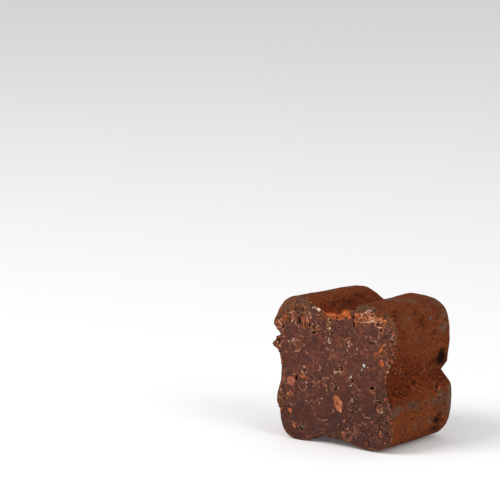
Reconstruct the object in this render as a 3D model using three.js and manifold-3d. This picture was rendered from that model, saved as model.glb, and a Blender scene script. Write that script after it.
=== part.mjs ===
// A chocolate truffle cut across: a stick of dark paste full of cocoa nibs, pressed to a
// square section with four lobes, rounded at its far end and rolled in cocoa powder.
// Millimetres, +Z up. The origin is on the table, under the middle of the truffle's box.
// The cut faces -Y, and a hollow runs along each of the four sides, from the cut to the end.

import * as THREE from 'three';
import { mergeVertices } from 'three/addons/utils/BufferGeometryUtils.js';
import loadManifold from 'manifold-3d';

// ---- Driving dimensions ------------------------------------------------------------------

const LENGTH = 16;            // from the cut to the far end
const AXIS_HEIGHT = 10.82;    // the section's axis above the table
const END_RADIUS = 2;         // rounding of the far end
const CUT_Y = -LENGTH / 2;
const END_Y = LENGTH / 2;
const BOX_OFFSET = [0.1255, 0.12];   // from the middle of the box to the axis at mid length

// Each pair is a value at the cut and at the far end. The form blends from one to the other.
// Reach of the section from its axis, before the hollows are pressed in:
const REACH = {
  rightUpper: [11.63, 10.85],
  rightLower: [11.05, 11.3],
  leftUpper: [11.0, 11.0],
  leftLower: [10.13, 10.9],
  upRight: [11.25, 10.85],
  upLeft: [11.1, 11.0],
  downRight: [10.72, 11.0],
  downLeft: [11.0, 11.0],
};

// How square each corner is: 2 is a circle, and a large number a sharp corner.
const SQUARENESS = {
  rightUpper: [4.0, 5.6],
  leftUpper: [6.5, 4.6],
  leftLower: [6.2, 4.8],
  rightLower: [6.2, 4.8],
};

// The hollow of each side: where its middle is along the side, how deep it is, how far it
// spreads to the side's low and high end, and how much of it is a crease with a sharp edge.
const HOLLOW = {
  right: { middle: [0.1, -0.2], depth: [1.98, 0.6], low: [6.9, 3.6], high: [7.5, 4.6], crease: [0, 0] },
  top: { middle: [0.2, 0.2], depth: [1.53, 2.1], low: [7.0, 5.6], high: [6.1, 4.0], crease: [0, 0] },
  left: { middle: [1.2, 0.2], depth: [0.74, 1.7], low: [5.9, 3.6], high: [4.4, 3.4], crease: [0, 0.2] },
  bottom: { middle: [-2.2, -0.6], depth: [1.4, 1.5], low: [3.4, 5.0], high: [9.0, 5.0], crease: [0.75, 0] },
};

// Where the knife broke the edge of the top hollow down, at the cut. It is level from the cut
// to a little way in, and from there it rises to the hollow:
const LIP = { middle: -0.2, depth: 1.1, low: 5.3, high: 4.0, sharpness: 4, level: 0.9, length: 2.5 };

// Lumps that the knife pushed out of the left edge of the cut, and a notch between two of them:
// angles round the section, and how far the edge stands out there. It blends from each to the next.
const EDGE_LUMPS = [
  [136, 0], [143, 0.2], [150.6, 0.7], [154, -0.95], [158.5, 0.05],
  [165.2, 1.15], [168, 0.05], [190, 0], [206, 0.7], [214, 0],
];
const LUMP_FADE = { level: 0.5, length: 2.6 };

// Where the right side was pinched shut at its far end, low and high from the pinch's middle:
const PINCH = { middle: -0.5, depth: 1.2, low: 2.0, high: 1.6, from: 1.0, to: 7.0 };

// The cut's rim crumbled back from the plane of the cut: most over the two upper lobes.
const RIM = [
  { angle: 122, spread: 38, depth: 0.9, width: 0.15 },   // upper left lobe
  { angle: 62, spread: 30, depth: 0.7, width: 0.1 },     // upper right lobe
  { angle: 28, spread: 26, depth: 0.45, width: 0.07 },   // right side, upper half
  { angle: 180, spread: 48, depth: 0.12, width: 0.06 },  // left side
];
const RIM_LEAST = 0.12;

// Unevenness of the powdered coat and of the broken paste:
const COAT_WAVE = 4.2;
const COAT_SWELL = 0.11;
const CRAG_WAVE = 1.7;
const CRAG_DEPTH = 0.3;
const CRAG_FADE = 0.08;       // share of the way in from the rim where the crags begin

// Steps of the grid that the body is made of:
const FACE_STEPS = 30;
const LENGTH_STEPS = 12;
const GATHER = { angle: 158, spread: 26, share: 0.55 };   // closer steps at the left lumps
const EDGE_SHARE = 0.12;      // share of the far face that is part of its rounding

// ---- Small mathematics -------------------------------------------------------------------

const mix = (from, to, share) => from + (to - from) * share;
const clamp01 = (value) => Math.min(1, Math.max(0, value));

function smoothstep(low, high, value) {
  const share = clamp01((value - low) / (high - low));
  return share * share * (3 - 2 * share);
}

// A fixed random number from 0 to 1 for a point of the whole-number lattice.
function latticeValue(i, j, k, seed) {
  let hash = Math.imul(i, 374761393) + Math.imul(j, 668265263) + Math.imul(k, 1274126177);
  hash = (hash + Math.imul(seed, 974634777)) | 0;
  hash = Math.imul(hash ^ (hash >>> 13), 1103515245);
  hash ^= hash >>> 16;
  return (hash >>> 0) / 4294967296;
}

// Smooth noise from -1 to 1, with features about one wave wide.
function noise(x, y, z, wave, seed) {
  const [u, v, w] = [x / wave, y / wave, z / wave];
  const [i, j, k] = [Math.floor(u), Math.floor(v), Math.floor(w)];
  const [s, t, r] = [smoothstep(0, 1, u - i), smoothstep(0, 1, v - j), smoothstep(0, 1, w - k)];
  const edge = (dj, dk) => mix(
    latticeValue(i, j + dj, k + dk, seed), latticeValue(i + 1, j + dj, k + dk, seed), s);
  return 2 * mix(mix(edge(0, 0), edge(1, 0), t), mix(edge(0, 1), edge(1, 1), t), r) - 1;
}

// A seeded row of random numbers from 0 to 1.
function randomRow(seed) {
  let state = seed >>> 0;
  return () => {
    state = (state + 0x6D2B79F5) >>> 0;
    let value = Math.imul(state ^ (state >>> 15), state | 1);
    value ^= value + Math.imul(value ^ (value >>> 7), value | 61);
    return ((value ^ (value >>> 14)) >>> 0) / 4294967296;
  };
}

// ---- The lobed section -------------------------------------------------------------------

function hollowDepth(hollow, place, along) {
  const [middle, depth, low, high, crease] = ['middle', 'depth', 'low', 'high', 'crease']
    .map((name) => mix(...hollow[name], along));
  const share = clamp01(place < middle ? (middle - place) / low : (place - middle) / high);
  const soft = 0.5 * (1 + Math.cos(Math.PI * share));
  return depth * mix(soft, 1 - share ** 1.5, crease);
}

function lipDepth(place, y) {
  const away = place - LIP.middle;
  const share = clamp01(away < 0 ? -away / LIP.low : away / LIP.high);
  return LIP.depth * (1 - smoothstep(LIP.level, LIP.length, y - CUT_Y)) * (1 - share ** LIP.sharpness);
}

function edgeRise(angle, y) {
  const degrees = (THREE.MathUtils.radToDeg(angle) + 360) % 360;
  const near = 1 - smoothstep(LUMP_FADE.level, LUMP_FADE.length, y - CUT_Y);
  const next = EDGE_LUMPS.findIndex(([place]) => place > degrees);
  if (next < 1) return 0;
  const [[from, low], [to, high]] = [EDGE_LUMPS[next - 1], EDGE_LUMPS[next]];
  return near * mix(low, high, smoothstep(from, to, degrees));
}

function pinchDepth(place, y) {
  const away = place - PINCH.middle;
  const share = clamp01(1 - (away < 0 ? -away / PINCH.low : away / PINCH.high));
  return PINCH.depth * smoothstep(PINCH.from, PINCH.to, y) * share ** 1.2;
}

// The outline's offset from the axis, at an angle from +X towards +Z.
function sectionPoint(angle, y) {
  const along = smoothstep(CUT_Y - 2, END_Y, y);
  const [cos, sin] = [Math.cos(angle), Math.sin(angle)];
  const side = cos >= 0 ? 'right' : 'left';
  const squareness = mix(...SQUARENESS[side + (sin >= 0 ? 'Upper' : 'Lower')], along);
  const upper = mix(...REACH[side + 'Upper'], along);
  const lower = mix(...REACH[side + 'Lower'], along);
  const across = mix(lower, upper, smoothstep(-0.35, 0.35, sin));
  const towardRight = smoothstep(-0.35, 0.35, cos);
  const top = mix(mix(...REACH.upLeft, along), mix(...REACH.upRight, along), towardRight);
  const bottom = mix(mix(...REACH.downLeft, along), mix(...REACH.downRight, along), towardRight);
  const upright = sin >= 0 ? top : bottom;
  const sum = Math.abs(cos / across) ** squareness + Math.abs(sin / upright) ** squareness;
  const radius = sum ** (-1 / squareness);
  const [x, z] = [radius * cos, radius * sin];
  const inward = side === 'right'
    ? -hollowDepth(HOLLOW.right, z, along) - pinchDepth(z, y)
    : hollowDepth(HOLLOW.left, z, along);
  const down = sin >= 0
    ? -hollowDepth(HOLLOW.top, x, along) - lipDepth(x, y)
    : hollowDepth(HOLLOW.bottom, x, along);
  return [x + inward, z + down];
}

// ---- The body ----------------------------------------------------------------------------

// How far the rim of the cut lies back at this angle, and over what share of the way in.
function rimAt(angle) {
  const degrees = (THREE.MathUtils.radToDeg(angle) + 360) % 360;
  let depth = RIM_LEAST;
  let width = 0.05;
  for (const part of RIM) {
    const apart = Math.abs(degrees - part.angle);
    const share = 1 - smoothstep(0.3, 1, Math.min(apart, 360 - apart) / part.spread);
    depth += part.depth * share;
    width += part.width * share;
  }
  return { depth, width };
}

// How far the paste lies back from the plane of the cut, at a share of the way to the rim.
function cutDepth(x, z, angle, outward) {
  const { depth, width } = rimAt(angle);
  const fall = smoothstep(1 - width, 1, outward) ** 1.5;
  const broken = 1 + 0.35 * noise(x, 0, z, 1.3, 5);
  const crags = 0.65 * noise(x, 0, z, CRAG_WAVE, 11) + 0.35 * noise(x, 0, z, CRAG_WAVE / 2, 12);
  const inside = smoothstep(0, CRAG_FADE, 1 - outward);
  return depth * fall * broken + CRAG_DEPTH * (0.5 + 0.5 * crags) * mix(0.4, 1, inside);
}

function coatSwell(x, y, z) {
  return COAT_SWELL * (0.7 * noise(x, y, z, COAT_WAVE, 21) + 0.3 * noise(x, y, z, COAT_WAVE / 2, 22));
}

// The section's point at this depth, drawn in by an inset, with its lumps and the coat's swell.
function outlinePoint(angle, y, inset) {
  const [x, z] = sectionPoint(angle, y);
  const radius = Math.hypot(x, z);
  const scale = (radius - inset + edgeRise(angle, y) + coatSwell(x, y, z)) / radius;
  return [x * scale, z * scale];
}

// The angle round the section of a point of the grid's square.
function gridAngle(a, b) {
  const angle = Math.atan2(b, a);
  const turn = 2 * Math.PI;
  const apart = THREE.MathUtils.euclideanModulo(
    angle - THREE.MathUtils.degToRad(GATHER.angle) + Math.PI, turn) - Math.PI;
  const near = Math.exp(-((apart / THREE.MathUtils.degToRad(GATHER.spread)) ** 2));
  return angle - GATHER.share * apart * near;
}

// Takes a point of a cube from -1 to 1 to its place on the truffle. Every square ring of the
// cube's ends becomes a ring with the section's outline.
function truffleSurface(a, t, b) {
  const outward = Math.max(Math.abs(a), Math.abs(b));
  const angle = gridAngle(a, b);
  const onCut = t <= -1 + 1e-6;
  const onEnd = t >= 1 - 1e-6;
  if (onCut) {
    const [x, z] = outlinePoint(angle, CUT_Y, 0).map((value) => value * outward);
    return [x, CUT_Y + cutDepth(x, z, angle, outward), z];
  }
  if (onEnd) {
    const turn = clamp01((outward - 1 + EDGE_SHARE) / EDGE_SHARE) * Math.PI / 4;
    const y = END_Y - END_RADIUS * (1 - Math.cos(turn));
    const inset = END_RADIUS * (1 - Math.sin(turn));
    const scale = clamp01(outward / (1 - EDGE_SHARE));
    const [x, z] = outlinePoint(angle, y, inset).map((value) => value * scale);
    return [x, y + coatSwell(x, y, z), z];
  }
  const [rimX, rimZ] = outlinePoint(angle, CUT_Y, 0);
  const start = CUT_Y + cutDepth(rimX, rimZ, angle, 1);
  const straight = END_Y - END_RADIUS - start;
  const travelled = (t + 1) / 2 * (straight + END_RADIUS * Math.PI / 4);
  const turn = Math.max(0, travelled - straight) / END_RADIUS;
  const y = start + Math.min(travelled, straight) + END_RADIUS * Math.sin(turn);
  const [x, z] = outlinePoint(angle, y, END_RADIUS * (1 - Math.cos(turn)));
  return [x, y, z];
}

function onlyPositions(geometry) {
  geometry.deleteAttribute('normal');
  geometry.deleteAttribute('uv');
  return mergeVertices(geometry, 1e-5);
}

// The lobes are pressed flat where they meet the table, so nothing reaches below it.
function bodyGeometry() {
  const cube = new THREE.BoxGeometry(2, 2, 2, FACE_STEPS, LENGTH_STEPS, FACE_STEPS);
  const geometry = onlyPositions(cube);
  const place = geometry.attributes.position;
  for (let n = 0; n < place.count; n += 1) {
    const [x, y, z] = truffleSurface(place.getX(n), place.getY(n), place.getZ(n));
    place.setXYZ(n, x, y, Math.max(0, z + AXIS_HEIGHT));
  }
  return geometry;
}

// ---- Nibs, crumbs and pits ---------------------------------------------------------------

// A small stone-like lump with flat sides, uneven and turned at random.
function lumpGeometry(size, random) {
  const geometry = onlyPositions(new THREE.DodecahedronGeometry(1, 0));
  const place = geometry.attributes.position;
  for (let n = 0; n < place.count; n += 1) {
    const scale = mix(0.82, 1.12, random());
    place.setXYZ(n, place.getX(n) * scale, place.getY(n) * scale, place.getZ(n) * scale);
  }
  geometry.rotateX(random() * Math.PI).rotateY(random() * Math.PI).rotateZ(random() * Math.PI);
  geometry.scale(...size);
  return geometry;
}

// Nibs that stand out of the cut: place across and up, half sizes across, out and up.
const CUT_NIBS = [
  { at: [-7.9, 8.9], size: [0.62, 0.3, 0.7] },     // flat-cut nib by the left hollow
  { at: [0.7, 6.6], size: [0.55, 0.34, 1.1] },     // tall nib below the middle
  { at: [8.6, 13.7], size: [0.32, 0.26, 0.62] },
  { at: [7.7, 14.9], size: [0.42, 0.24, 0.35] },
  { at: [-8.0, 4.2], size: [0.4, 0.24, 0.4] },
  { at: [-5.7, 9.7], size: [0.5, 0.3, 0.5] },
  { at: [-7.2, 2.3], size: [0.5, 0.26, 0.45] },
  { at: [-6.9, 14.2], size: [0.8, 0.3, 0.75] },
  { at: [-0.4, 15.1], size: [0.8, 0.32, 0.85] },
  { at: [4.3, 14.7], size: [0.85, 0.32, 0.8] },
  { at: [3.9, 6.4], size: [1.0, 0.34, 0.9] },
  { at: [8.5, 6.6], size: [0.75, 0.4, 0.8] },
  { at: [-1.3, 8.4], size: [0.65, 0.3, 0.6] },
  { at: [-3.4, 17.6], size: [0.8, 0.4, 0.6] },
  { at: [-7.7, 18.4], size: [0.8, 0.4, 0.6] },
  { at: [6.3, 20.0], size: [1.1, 0.4, 0.45] },
];

// Coated lumps on the rim of the cut, flush with it: an angle round the section and a half size.
const RIM_LUMPS = [
  { angle: 24, size: 0.7 },
  { angle: 17, size: 0.45 },
  { angle: 101, size: 0.5 },
  { angle: 52, size: 0.55 },
  { angle: 330, size: 0.5 },
];

const LUMP_PLACE = 0.96;      // share of the way from the section's axis to its outline
const LUMP_THICKNESS = 0.7;   // of its size across

// Pits in the cut beside the nibs: place across and up, half sizes across, in and up.
const CUT_PITS = [
  { at: [2.5, 15.8], size: [0.32, 0.55, 0.7] },
  { at: [-0.9, 16.2], size: [0.35, 0.5, 0.4] },
  { at: [-7.4, 15.4], size: [0.3, 0.5, 0.45] },
  { at: [6.6, 16.4], size: [0.5, 0.55, 0.45] },
  { at: [5.5, 12.8], size: [0.35, 0.45, 0.5] },
  { at: [3.1, 10.1], size: [0.32, 0.55, 0.75] },
  { at: [7.2, 9.5], size: [0.5, 0.5, 0.35] },
  { at: [3.4, 7.7], size: [0.3, 0.5, 0.5] },
  { at: [-7.2, 9.9], size: [0.4, 0.45, 0.35] },
  { at: [3.6, 19.5], size: [0.18, 0.6, 1.0] },     // a crack down from the top hollow
];

// Pits in the coat: the fold over the pinch and a small hole below it.
const COAT_PITS = [
  { at: [11.1, 5.4, 12.0], size: [1.5, 1.0, 0.85] },
  { at: [11.0, 3.5, 8.6], size: [0.7, 0.35, 0.4] },
];

const SMALL_NIBS = 12;
const SMALL_NIB_SIZES = [0.28, 0.5];
const NIB_FIELD = { across: 8.2, up: 8.6 };        // half sizes of the cut that they spread over
const CRUMBS = 8;
const CRUMB_SIZES = [0.3, 0.45];
const NIB_SEED = 41;

function cutLump({ at, size }, random) {
  const [x, z] = [at[0], at[1] - AXIS_HEIGHT];
  const lump = lumpGeometry(size, random);
  const angle = Math.atan2(z, x);
  const outward = Math.hypot(x, z) / Math.hypot(...sectionPoint(angle, CUT_Y));
  return lump.translate(x, CUT_Y + cutDepth(x, z, angle, outward), at[1]);
}

function rimLump({ angle, size }, random) {
  const turn = THREE.MathUtils.degToRad(angle);
  const [x, z] = sectionPoint(turn, CUT_Y).map((value) => value * LUMP_PLACE);
  const back = size * LUMP_THICKNESS;
  return lumpGeometry([size, back, size], random).translate(x, CUT_Y + back, z + AXIS_HEIGHT);
}

function smallNibs(random) {
  return Array.from({ length: SMALL_NIBS }, () => {
    const at = [mix(-1, 1, random()) * NIB_FIELD.across, AXIS_HEIGHT + mix(-1, 1, random()) * NIB_FIELD.up];
    const radius = mix(...SMALL_NIB_SIZES, random());
    return cutLump({ at, size: [radius, radius * 0.6, radius * mix(0.8, 1.3, random())] }, random);
  });
}

// Crumbs that stuck to the coat, sunk to three quarters, clear of what it stands on.
function coatCrumbs(random) {
  return Array.from({ length: CRUMBS }, () => {
    const angle = mix(-0.2, 1.2, random()) * Math.PI;
    const y = mix(CUT_Y + 2, END_Y - 3, random());
    const radius = mix(...CRUMB_SIZES, random());
    const [x, z] = outlinePoint(angle, y, radius * 0.5);
    return lumpGeometry([radius, radius, radius], random).translate(x, y, z + AXIS_HEIGHT);
  });
}

function coatPit({ at, size }, random) {
  return lumpGeometry(size, random).translate(...at);
}

// ---- Joining -----------------------------------------------------------------------------

const wasm = await loadManifold();
wasm.setup();

function toSolid(geometry) {
  const mesh = onlyPositions(geometry);
  return new wasm.Manifold(new wasm.Mesh({
    numProp: 3,
    vertProperties: new Float32Array(mesh.attributes.position.array),
    triVerts: new Uint32Array(mesh.index.array),
  }));
}

function fromSolid(solid) {
  const { vertProperties, triVerts } = solid.getMesh();
  const geometry = new THREE.BufferGeometry();
  geometry.setAttribute('position', new THREE.BufferAttribute(new Float32Array(vertProperties), 3));
  geometry.setIndex(new THREE.BufferAttribute(new Uint32Array(triVerts), 1));
  geometry.computeVertexNormals();
  return geometry;
}

function truffleGeometry() {
  const random = randomRow(NIB_SEED);
  const nibs = CUT_NIBS.map((nib) => cutLump(nib, random));
  const lumps = RIM_LUMPS.map((lump) => rimLump(lump, random));
  const added = [...nibs, ...lumps, ...smallNibs(random), ...coatCrumbs(random)];
  const pits = [
    ...CUT_PITS.map((pit) => cutLump(pit, random)),
    ...COAT_PITS.map((pit) => coatPit(pit, random)),
  ];
  let solid = toSolid(bodyGeometry());
  for (const pit of pits) solid = solid.subtract(toSolid(pit));
  for (const lump of added) solid = solid.add(toSolid(lump));
  return fromSolid(solid);
}

// ---- The truffle -------------------------------------------------------------------------

const cocoaPaste = new THREE.MeshStandardMaterial({ color: 0x5a3426, roughness: 0.85, metalness: 0 });

const truffle = new THREE.Mesh(truffleGeometry().translate(...BOX_OFFSET, 0), cocoaPaste);
truffle.name = 'truffle';

const group = new THREE.Group();
group.add(truffle);

export default group;
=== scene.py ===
"""The looks of a chocolate truffle cut across: dark paste full of cocoa nibs, in a coat of cocoa powder.

The form follows the same named sizes as the CAD model. Lengths are in millimetres until a mesh is made.
Local places are measured from the truffle's axis at mid length: x across, y from the cut to the far end,
z up from the axis. Marks that the photograph shows are given by its pixels and put on the surface there.
Colours are those of the picture, from 0 to 255, until srgb turns them into linear light.
"""

import math

import bmesh
import bpy
import numpy as np
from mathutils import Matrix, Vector
from mathutils.bvhtree import BVHTree


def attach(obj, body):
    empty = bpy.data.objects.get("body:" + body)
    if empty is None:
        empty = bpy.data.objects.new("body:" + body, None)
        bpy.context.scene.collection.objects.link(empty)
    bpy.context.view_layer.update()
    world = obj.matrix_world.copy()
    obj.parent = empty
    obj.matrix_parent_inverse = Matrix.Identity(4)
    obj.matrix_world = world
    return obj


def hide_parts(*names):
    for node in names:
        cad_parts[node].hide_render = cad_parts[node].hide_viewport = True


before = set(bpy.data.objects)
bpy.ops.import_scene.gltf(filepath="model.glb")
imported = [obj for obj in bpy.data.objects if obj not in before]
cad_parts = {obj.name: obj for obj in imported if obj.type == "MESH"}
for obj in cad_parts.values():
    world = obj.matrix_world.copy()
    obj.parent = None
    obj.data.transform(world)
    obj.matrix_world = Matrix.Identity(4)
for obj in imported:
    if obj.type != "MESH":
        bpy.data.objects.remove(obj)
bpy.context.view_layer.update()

MM = 0.001


def rows(names, *table):
    """Marks by name, one from each row. The last names may be left out of a row."""
    return tuple(dict(zip(names.split(), row)) for row in table)


# ---- Small mathematics -------------------------------------------------------------------------

def mix(low, high, share):
    return low + (high - low) * share


def clamp01(value):
    return np.clip(value, 0.0, 1.0)


def smoothstep(low, high, value):
    share = clamp01((value - low) / (high - low))
    return share * share * (3 - 2 * share)


def fade(low, high, value):
    """From 1 below the low value to 0 above the high one."""
    return 1 - smoothstep(low, high, value)


def bell(value):
    return np.exp(-(value**2))


def unit_vectors(vectors):
    return vectors / np.linalg.norm(vectors, axis=-1, keepdims=True)


def laid(across, up, turn):
    """Distances across and up a mark, for a mark that is turned by this many degrees."""
    cos, sin = math.cos(math.radians(turn)), math.sin(math.radians(turn))
    return across * cos - up * sin, across * sin + up * cos


def turned(x, z, middle, turn):
    """Places along and across a mark that is turned by this many degrees."""
    return laid(x - middle[0], z - middle[1], -turn)


def in_oval(random, half, reach=1.0, count=None):
    """A place anywhere in an oval, or this many places, measured from its middle."""
    turn, share = random.uniform(0, 2 * np.pi, count), reach * np.sqrt(random.uniform(0, 1, count))
    return (share * np.array([np.cos(turn), np.sin(turn)])).T * half


def lattice_value(i, j, k, seed):
    """A fixed random number from 0 to 1 for a point of the whole-number lattice."""
    hashed = i * 374761393 + j * 668265263 + k * 1274126177 + seed * 974634777
    hashed = (hashed & 0xFFFFFFFF).astype(np.uint32)
    hashed = (hashed ^ (hashed >> np.uint32(13))) * np.uint32(1103515245)
    hashed = hashed ^ (hashed >> np.uint32(16))
    return hashed / 2.0**32


def noise(x, y, z, wave, seed):
    """Smooth noise from -1 to 1, with features about one wave wide. The CAD model has the same."""
    places = [place / wave for place in np.broadcast_arrays(*(np.asarray(v, float) for v in (x, y, z)))]
    cells = [np.floor(place).astype(np.int64) for place in places]
    shares = [smoothstep(0, 1, place - cell) for place, cell in zip(places, cells)]
    total = np.zeros(places[0].shape)
    for corner in range(8):
        step = (corner & 1, corner >> 1 & 1, corner >> 2)
        weight = 1.0
        for share, ahead in zip(shares, step):
            weight = weight * (share if ahead else 1 - share)
        total += weight * lattice_value(*(cell + ahead for cell, ahead in zip(cells, step)), seed)
    return 2 * total - 1


def layered_noise(x, y, z, *layers):
    """Noise of several sizes at once. Each layer is a height, a wave and a seed."""
    return sum(height * noise(x, y, z, wave, seed) for height, wave, seed in layers)


def srgb(colours):
    """Colours of the picture, 0 to 255, as linear light. Each gets a fourth value, 1."""
    shares = np.asarray(colours, float) / 255
    light = np.where(shares <= 0.04045, shares / 12.92, ((shares + 0.055) / 1.055) ** 2.4)
    return np.concatenate([light, np.ones((*light.shape[:-1], 1))], axis=-1)


# ---- The truffle's form, as in the CAD model ---------------------------------------------------

LENGTH = 16.0
AXIS_HEIGHT = 10.82
END_RADIUS = 2.0
CUT_Y = -LENGTH / 2
END_Y = LENGTH / 2
BOX_OFFSET = np.array([0.1255, 0.12, 0.0])

# Each has a value at the cut and one at the far end.
REACH = {
    "rightUpper": (11.63, 10.85), "rightLower": (11.05, 11.3), "leftUpper": (11, 11),
    "leftLower": (10.13, 10.9), "upRight": (11.25, 10.85), "upLeft": (11.1, 11),
    "downRight": (10.72, 11), "downLeft": (11, 11),
}
SQUARENESS = {
    "rightUpper": (4, 5.6), "leftUpper": (6.5, 4.6), "leftLower": (6.2, 4.8), "rightLower": (6.2, 4.8),
}
HOLLOW = dict(zip(("right", "top", "left", "bottom"), rows(
    "middle depth low high crease",
    ((0.1, -0.2), (1.98, 0.6), (6.9, 3.6), (7.5, 4.6), (0, 0)),
    ((0.2, 0.2), (1.53, 2.1), (7, 5.6), (6.1, 4), (0, 0)),
    ((1.2, 0.2), (0.74, 1.7), (5.9, 3.6), (4.4, 3.4), (0, 0.2)),
    ((-2.2, -0.6), (1.4, 1.5), (3.4, 5), (9, 5), (0.75, 0)),
)))
CORNER_BLEND = 0.35                            # share of the way round over which the reaches blend
LIP = {"middle": -0.2, "depth": 1.1, "low": 5.3, "high": 4.0, "sharpness": 4, "level": 0.9, "length": 2.5}
EDGE_LUMPS = (
    (136, 0), (143, 0.2), (150.6, 0.7), (154, -0.95), (158.5, 0.05),
    (165.2, 1.15), (168, 0.05), (190, 0), (206, 0.7), (214, 0),
)
LUMP_FADE = {"level": 0.5, "length": 2.6}
PINCH = {"middle": -0.5, "depth": 1.2, "low": 2.0, "high": 1.6, "from": 1.0, "to": 7.0}
RIM = rows(
    "angle spread depth width",
    (122, 38, 0.9, 0.15), (62, 30, 0.7, 0.1), (28, 26, 0.45, 0.07), (180, 48, 0.12, 0.06),
)
RIM_LEAST = {"depth": 0.12, "width": 0.05}
COAT_SWELL = 0.11
COAT_LAYERS = ((0.7, 4.2, 21), (0.3, 2.1, 22))
CRAG_DEPTH = 0.3
CRAG_LAYERS = ((0.65, 1.7, 11), (0.35, 0.85, 12))
CRAG_UNEVENNESS = 0.4
CRAG_FADE = 0.08
EDGE_SHARE = 0.12                              # share of the far face that is part of its rounding

# Steps of the meshes.
CUT_STEPS = 288
COAT_STEPS = 200
COAT_LENGTH_STEPS = 70


def side_share(place, shape):
    """How far a place is from a hollow's middle, where 1 is the hollow's end on that side."""
    away = place - shape["middle"]
    return np.where(away < 0, -away / shape["low"], away / shape["high"])


def hollow_depth(side, place, along):
    shape = {name: mix(*ends, along) for name, ends in HOLLOW[side].items()}
    share = clamp01(side_share(place, shape))
    soft = 0.5 * (1 + np.cos(np.pi * share))
    return shape["depth"] * mix(soft, 1 - share**1.5, shape["crease"])


def lip_depth(place, y):
    share = clamp01(side_share(place, LIP))
    return LIP["depth"] * fade(LIP["level"], LIP["length"], y - CUT_Y) * (1 - share ** LIP["sharpness"])


def pinch_depth(place, y):
    share = clamp01(1 - side_share(place, PINCH))
    return PINCH["depth"] * smoothstep(PINCH["from"], PINCH["to"], y) * share**1.2


def section_point(angle, y):
    """The outline's offset from the axis, and how far it is pressed in, at an angle from +X towards +Z."""
    along = smoothstep(CUT_Y - 2, END_Y, y)
    cos, sin = np.cos(angle), np.sin(angle)
    right, upper = cos >= 0, sin >= 0
    reach, square = (
        {name: mix(*ends, along) for name, ends in table.items()} for table in (REACH, SQUARENESS))

    def by_side(table, height):
        return np.where(right, table["right" + height], table["left" + height])

    toward_top, toward_right = (smoothstep(-CORNER_BLEND, CORNER_BLEND, side) for side in (sin, cos))
    across = mix(by_side(reach, "Lower"), by_side(reach, "Upper"), toward_top)
    upright = np.where(
        upper,
        mix(reach["upLeft"], reach["upRight"], toward_right),
        mix(reach["downLeft"], reach["downRight"], toward_right))
    power = np.where(upper, by_side(square, "Upper"), by_side(square, "Lower"))
    radius = (np.abs(cos / across) ** power + np.abs(sin / upright) ** power) ** (-1 / power)
    x, z = radius * cos, radius * sin
    inward = np.where(
        right, -hollow_depth("right", z, along) - pinch_depth(z, y), hollow_depth("left", z, along))
    down = np.where(upper, -hollow_depth("top", x, along) - lip_depth(x, y), hollow_depth("bottom", x, along))
    return x + inward, z + down, np.hypot(inward, down)


def coat_swell(x, y, z):
    return COAT_SWELL * layered_noise(x, y, z, *COAT_LAYERS)


def edge_rise(angle, y):
    degrees = np.degrees(angle) % 360
    rise = 0.0
    for (start, low), (end, high) in zip(EDGE_LUMPS[:-1], EDGE_LUMPS[1:]):
        between = (degrees >= start) & (degrees < end)
        rise = np.where(between, mix(low, high, smoothstep(start, end, degrees)), rise)
    return rise * fade(LUMP_FADE["level"], LUMP_FADE["length"], y - CUT_Y)


def outline_point(angle, y, inset):
    """The section's point at this depth, drawn in by an inset, with its lumps and the coat's swell."""
    x, z, _ = section_point(angle, y)
    radius = np.hypot(x, z)
    scale = (radius - inset + edge_rise(angle, y) + coat_swell(x, y, z)) / radius
    return x * scale, z * scale


def rim_at(angle):
    """How far the rim of the cut lies back at this angle, and over what share of the way in."""
    degrees = np.degrees(angle) % 360
    depth, width = RIM_LEAST["depth"], RIM_LEAST["width"]
    for part in RIM:
        apart = np.abs(degrees - part["angle"])
        share = fade(0.3, 1, np.minimum(apart, 360 - apart) / part["spread"])
        depth = depth + part["depth"] * share
        width = width + part["width"] * share
    return depth, width


def crag_depth(x, z, angle, outward):
    """How far the paste lies back from the plane of the cut, at a share of the way to the rim."""
    depth, width = rim_at(angle)
    fall = smoothstep(1 - width, 1, outward) ** 1.5
    broken = 1 + 0.35 * noise(x, 0, z, 1.3, 5)
    crags = 0.5 + 0.5 * layered_noise(x, 0, z, *CRAG_LAYERS) * CRAG_UNEVENNESS
    return depth * fall * broken + CRAG_DEPTH * crags * mix(0.4, 1, smoothstep(0, CRAG_FADE, 1 - outward))


def cut_bearing(x, z):
    """The angle of a place on the cut, and its share of the way from the middle to the rim."""
    angle = np.arctan2(z, x)
    return angle, np.hypot(x, z) / np.hypot(*outline_point(angle, CUT_Y, 0))


# ---- From the photograph's pixels to the truffle -----------------------------------------------

PICTURE = 500                                  # pixels, both ways
CAMERA_PLACE = np.array([246.9145, -346.565, 98.660])
CAMERA_TURN = math.radians(37.7724)            # to the left of +Y
CAMERA_DIP = math.radians(9.3627)
FOCAL_PIXELS = 2880
SENSOR = 36.0
LOCAL_CAMERA = CAMERA_PLACE - BOX_OFFSET - np.array([0, 0, AXIS_HEIGHT])
BACK = np.array([
    math.sin(CAMERA_TURN) * math.cos(CAMERA_DIP),
    -math.cos(CAMERA_TURN) * math.cos(CAMERA_DIP),
    math.sin(CAMERA_DIP)])
RIGHT = np.array([math.cos(CAMERA_TURN), math.sin(CAMERA_TURN), 0.0])
UP = np.cross(BACK, RIGHT)
SIGHT_ROUNDS = 10                              # steps in which a line of sight closes in on the surface


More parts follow.
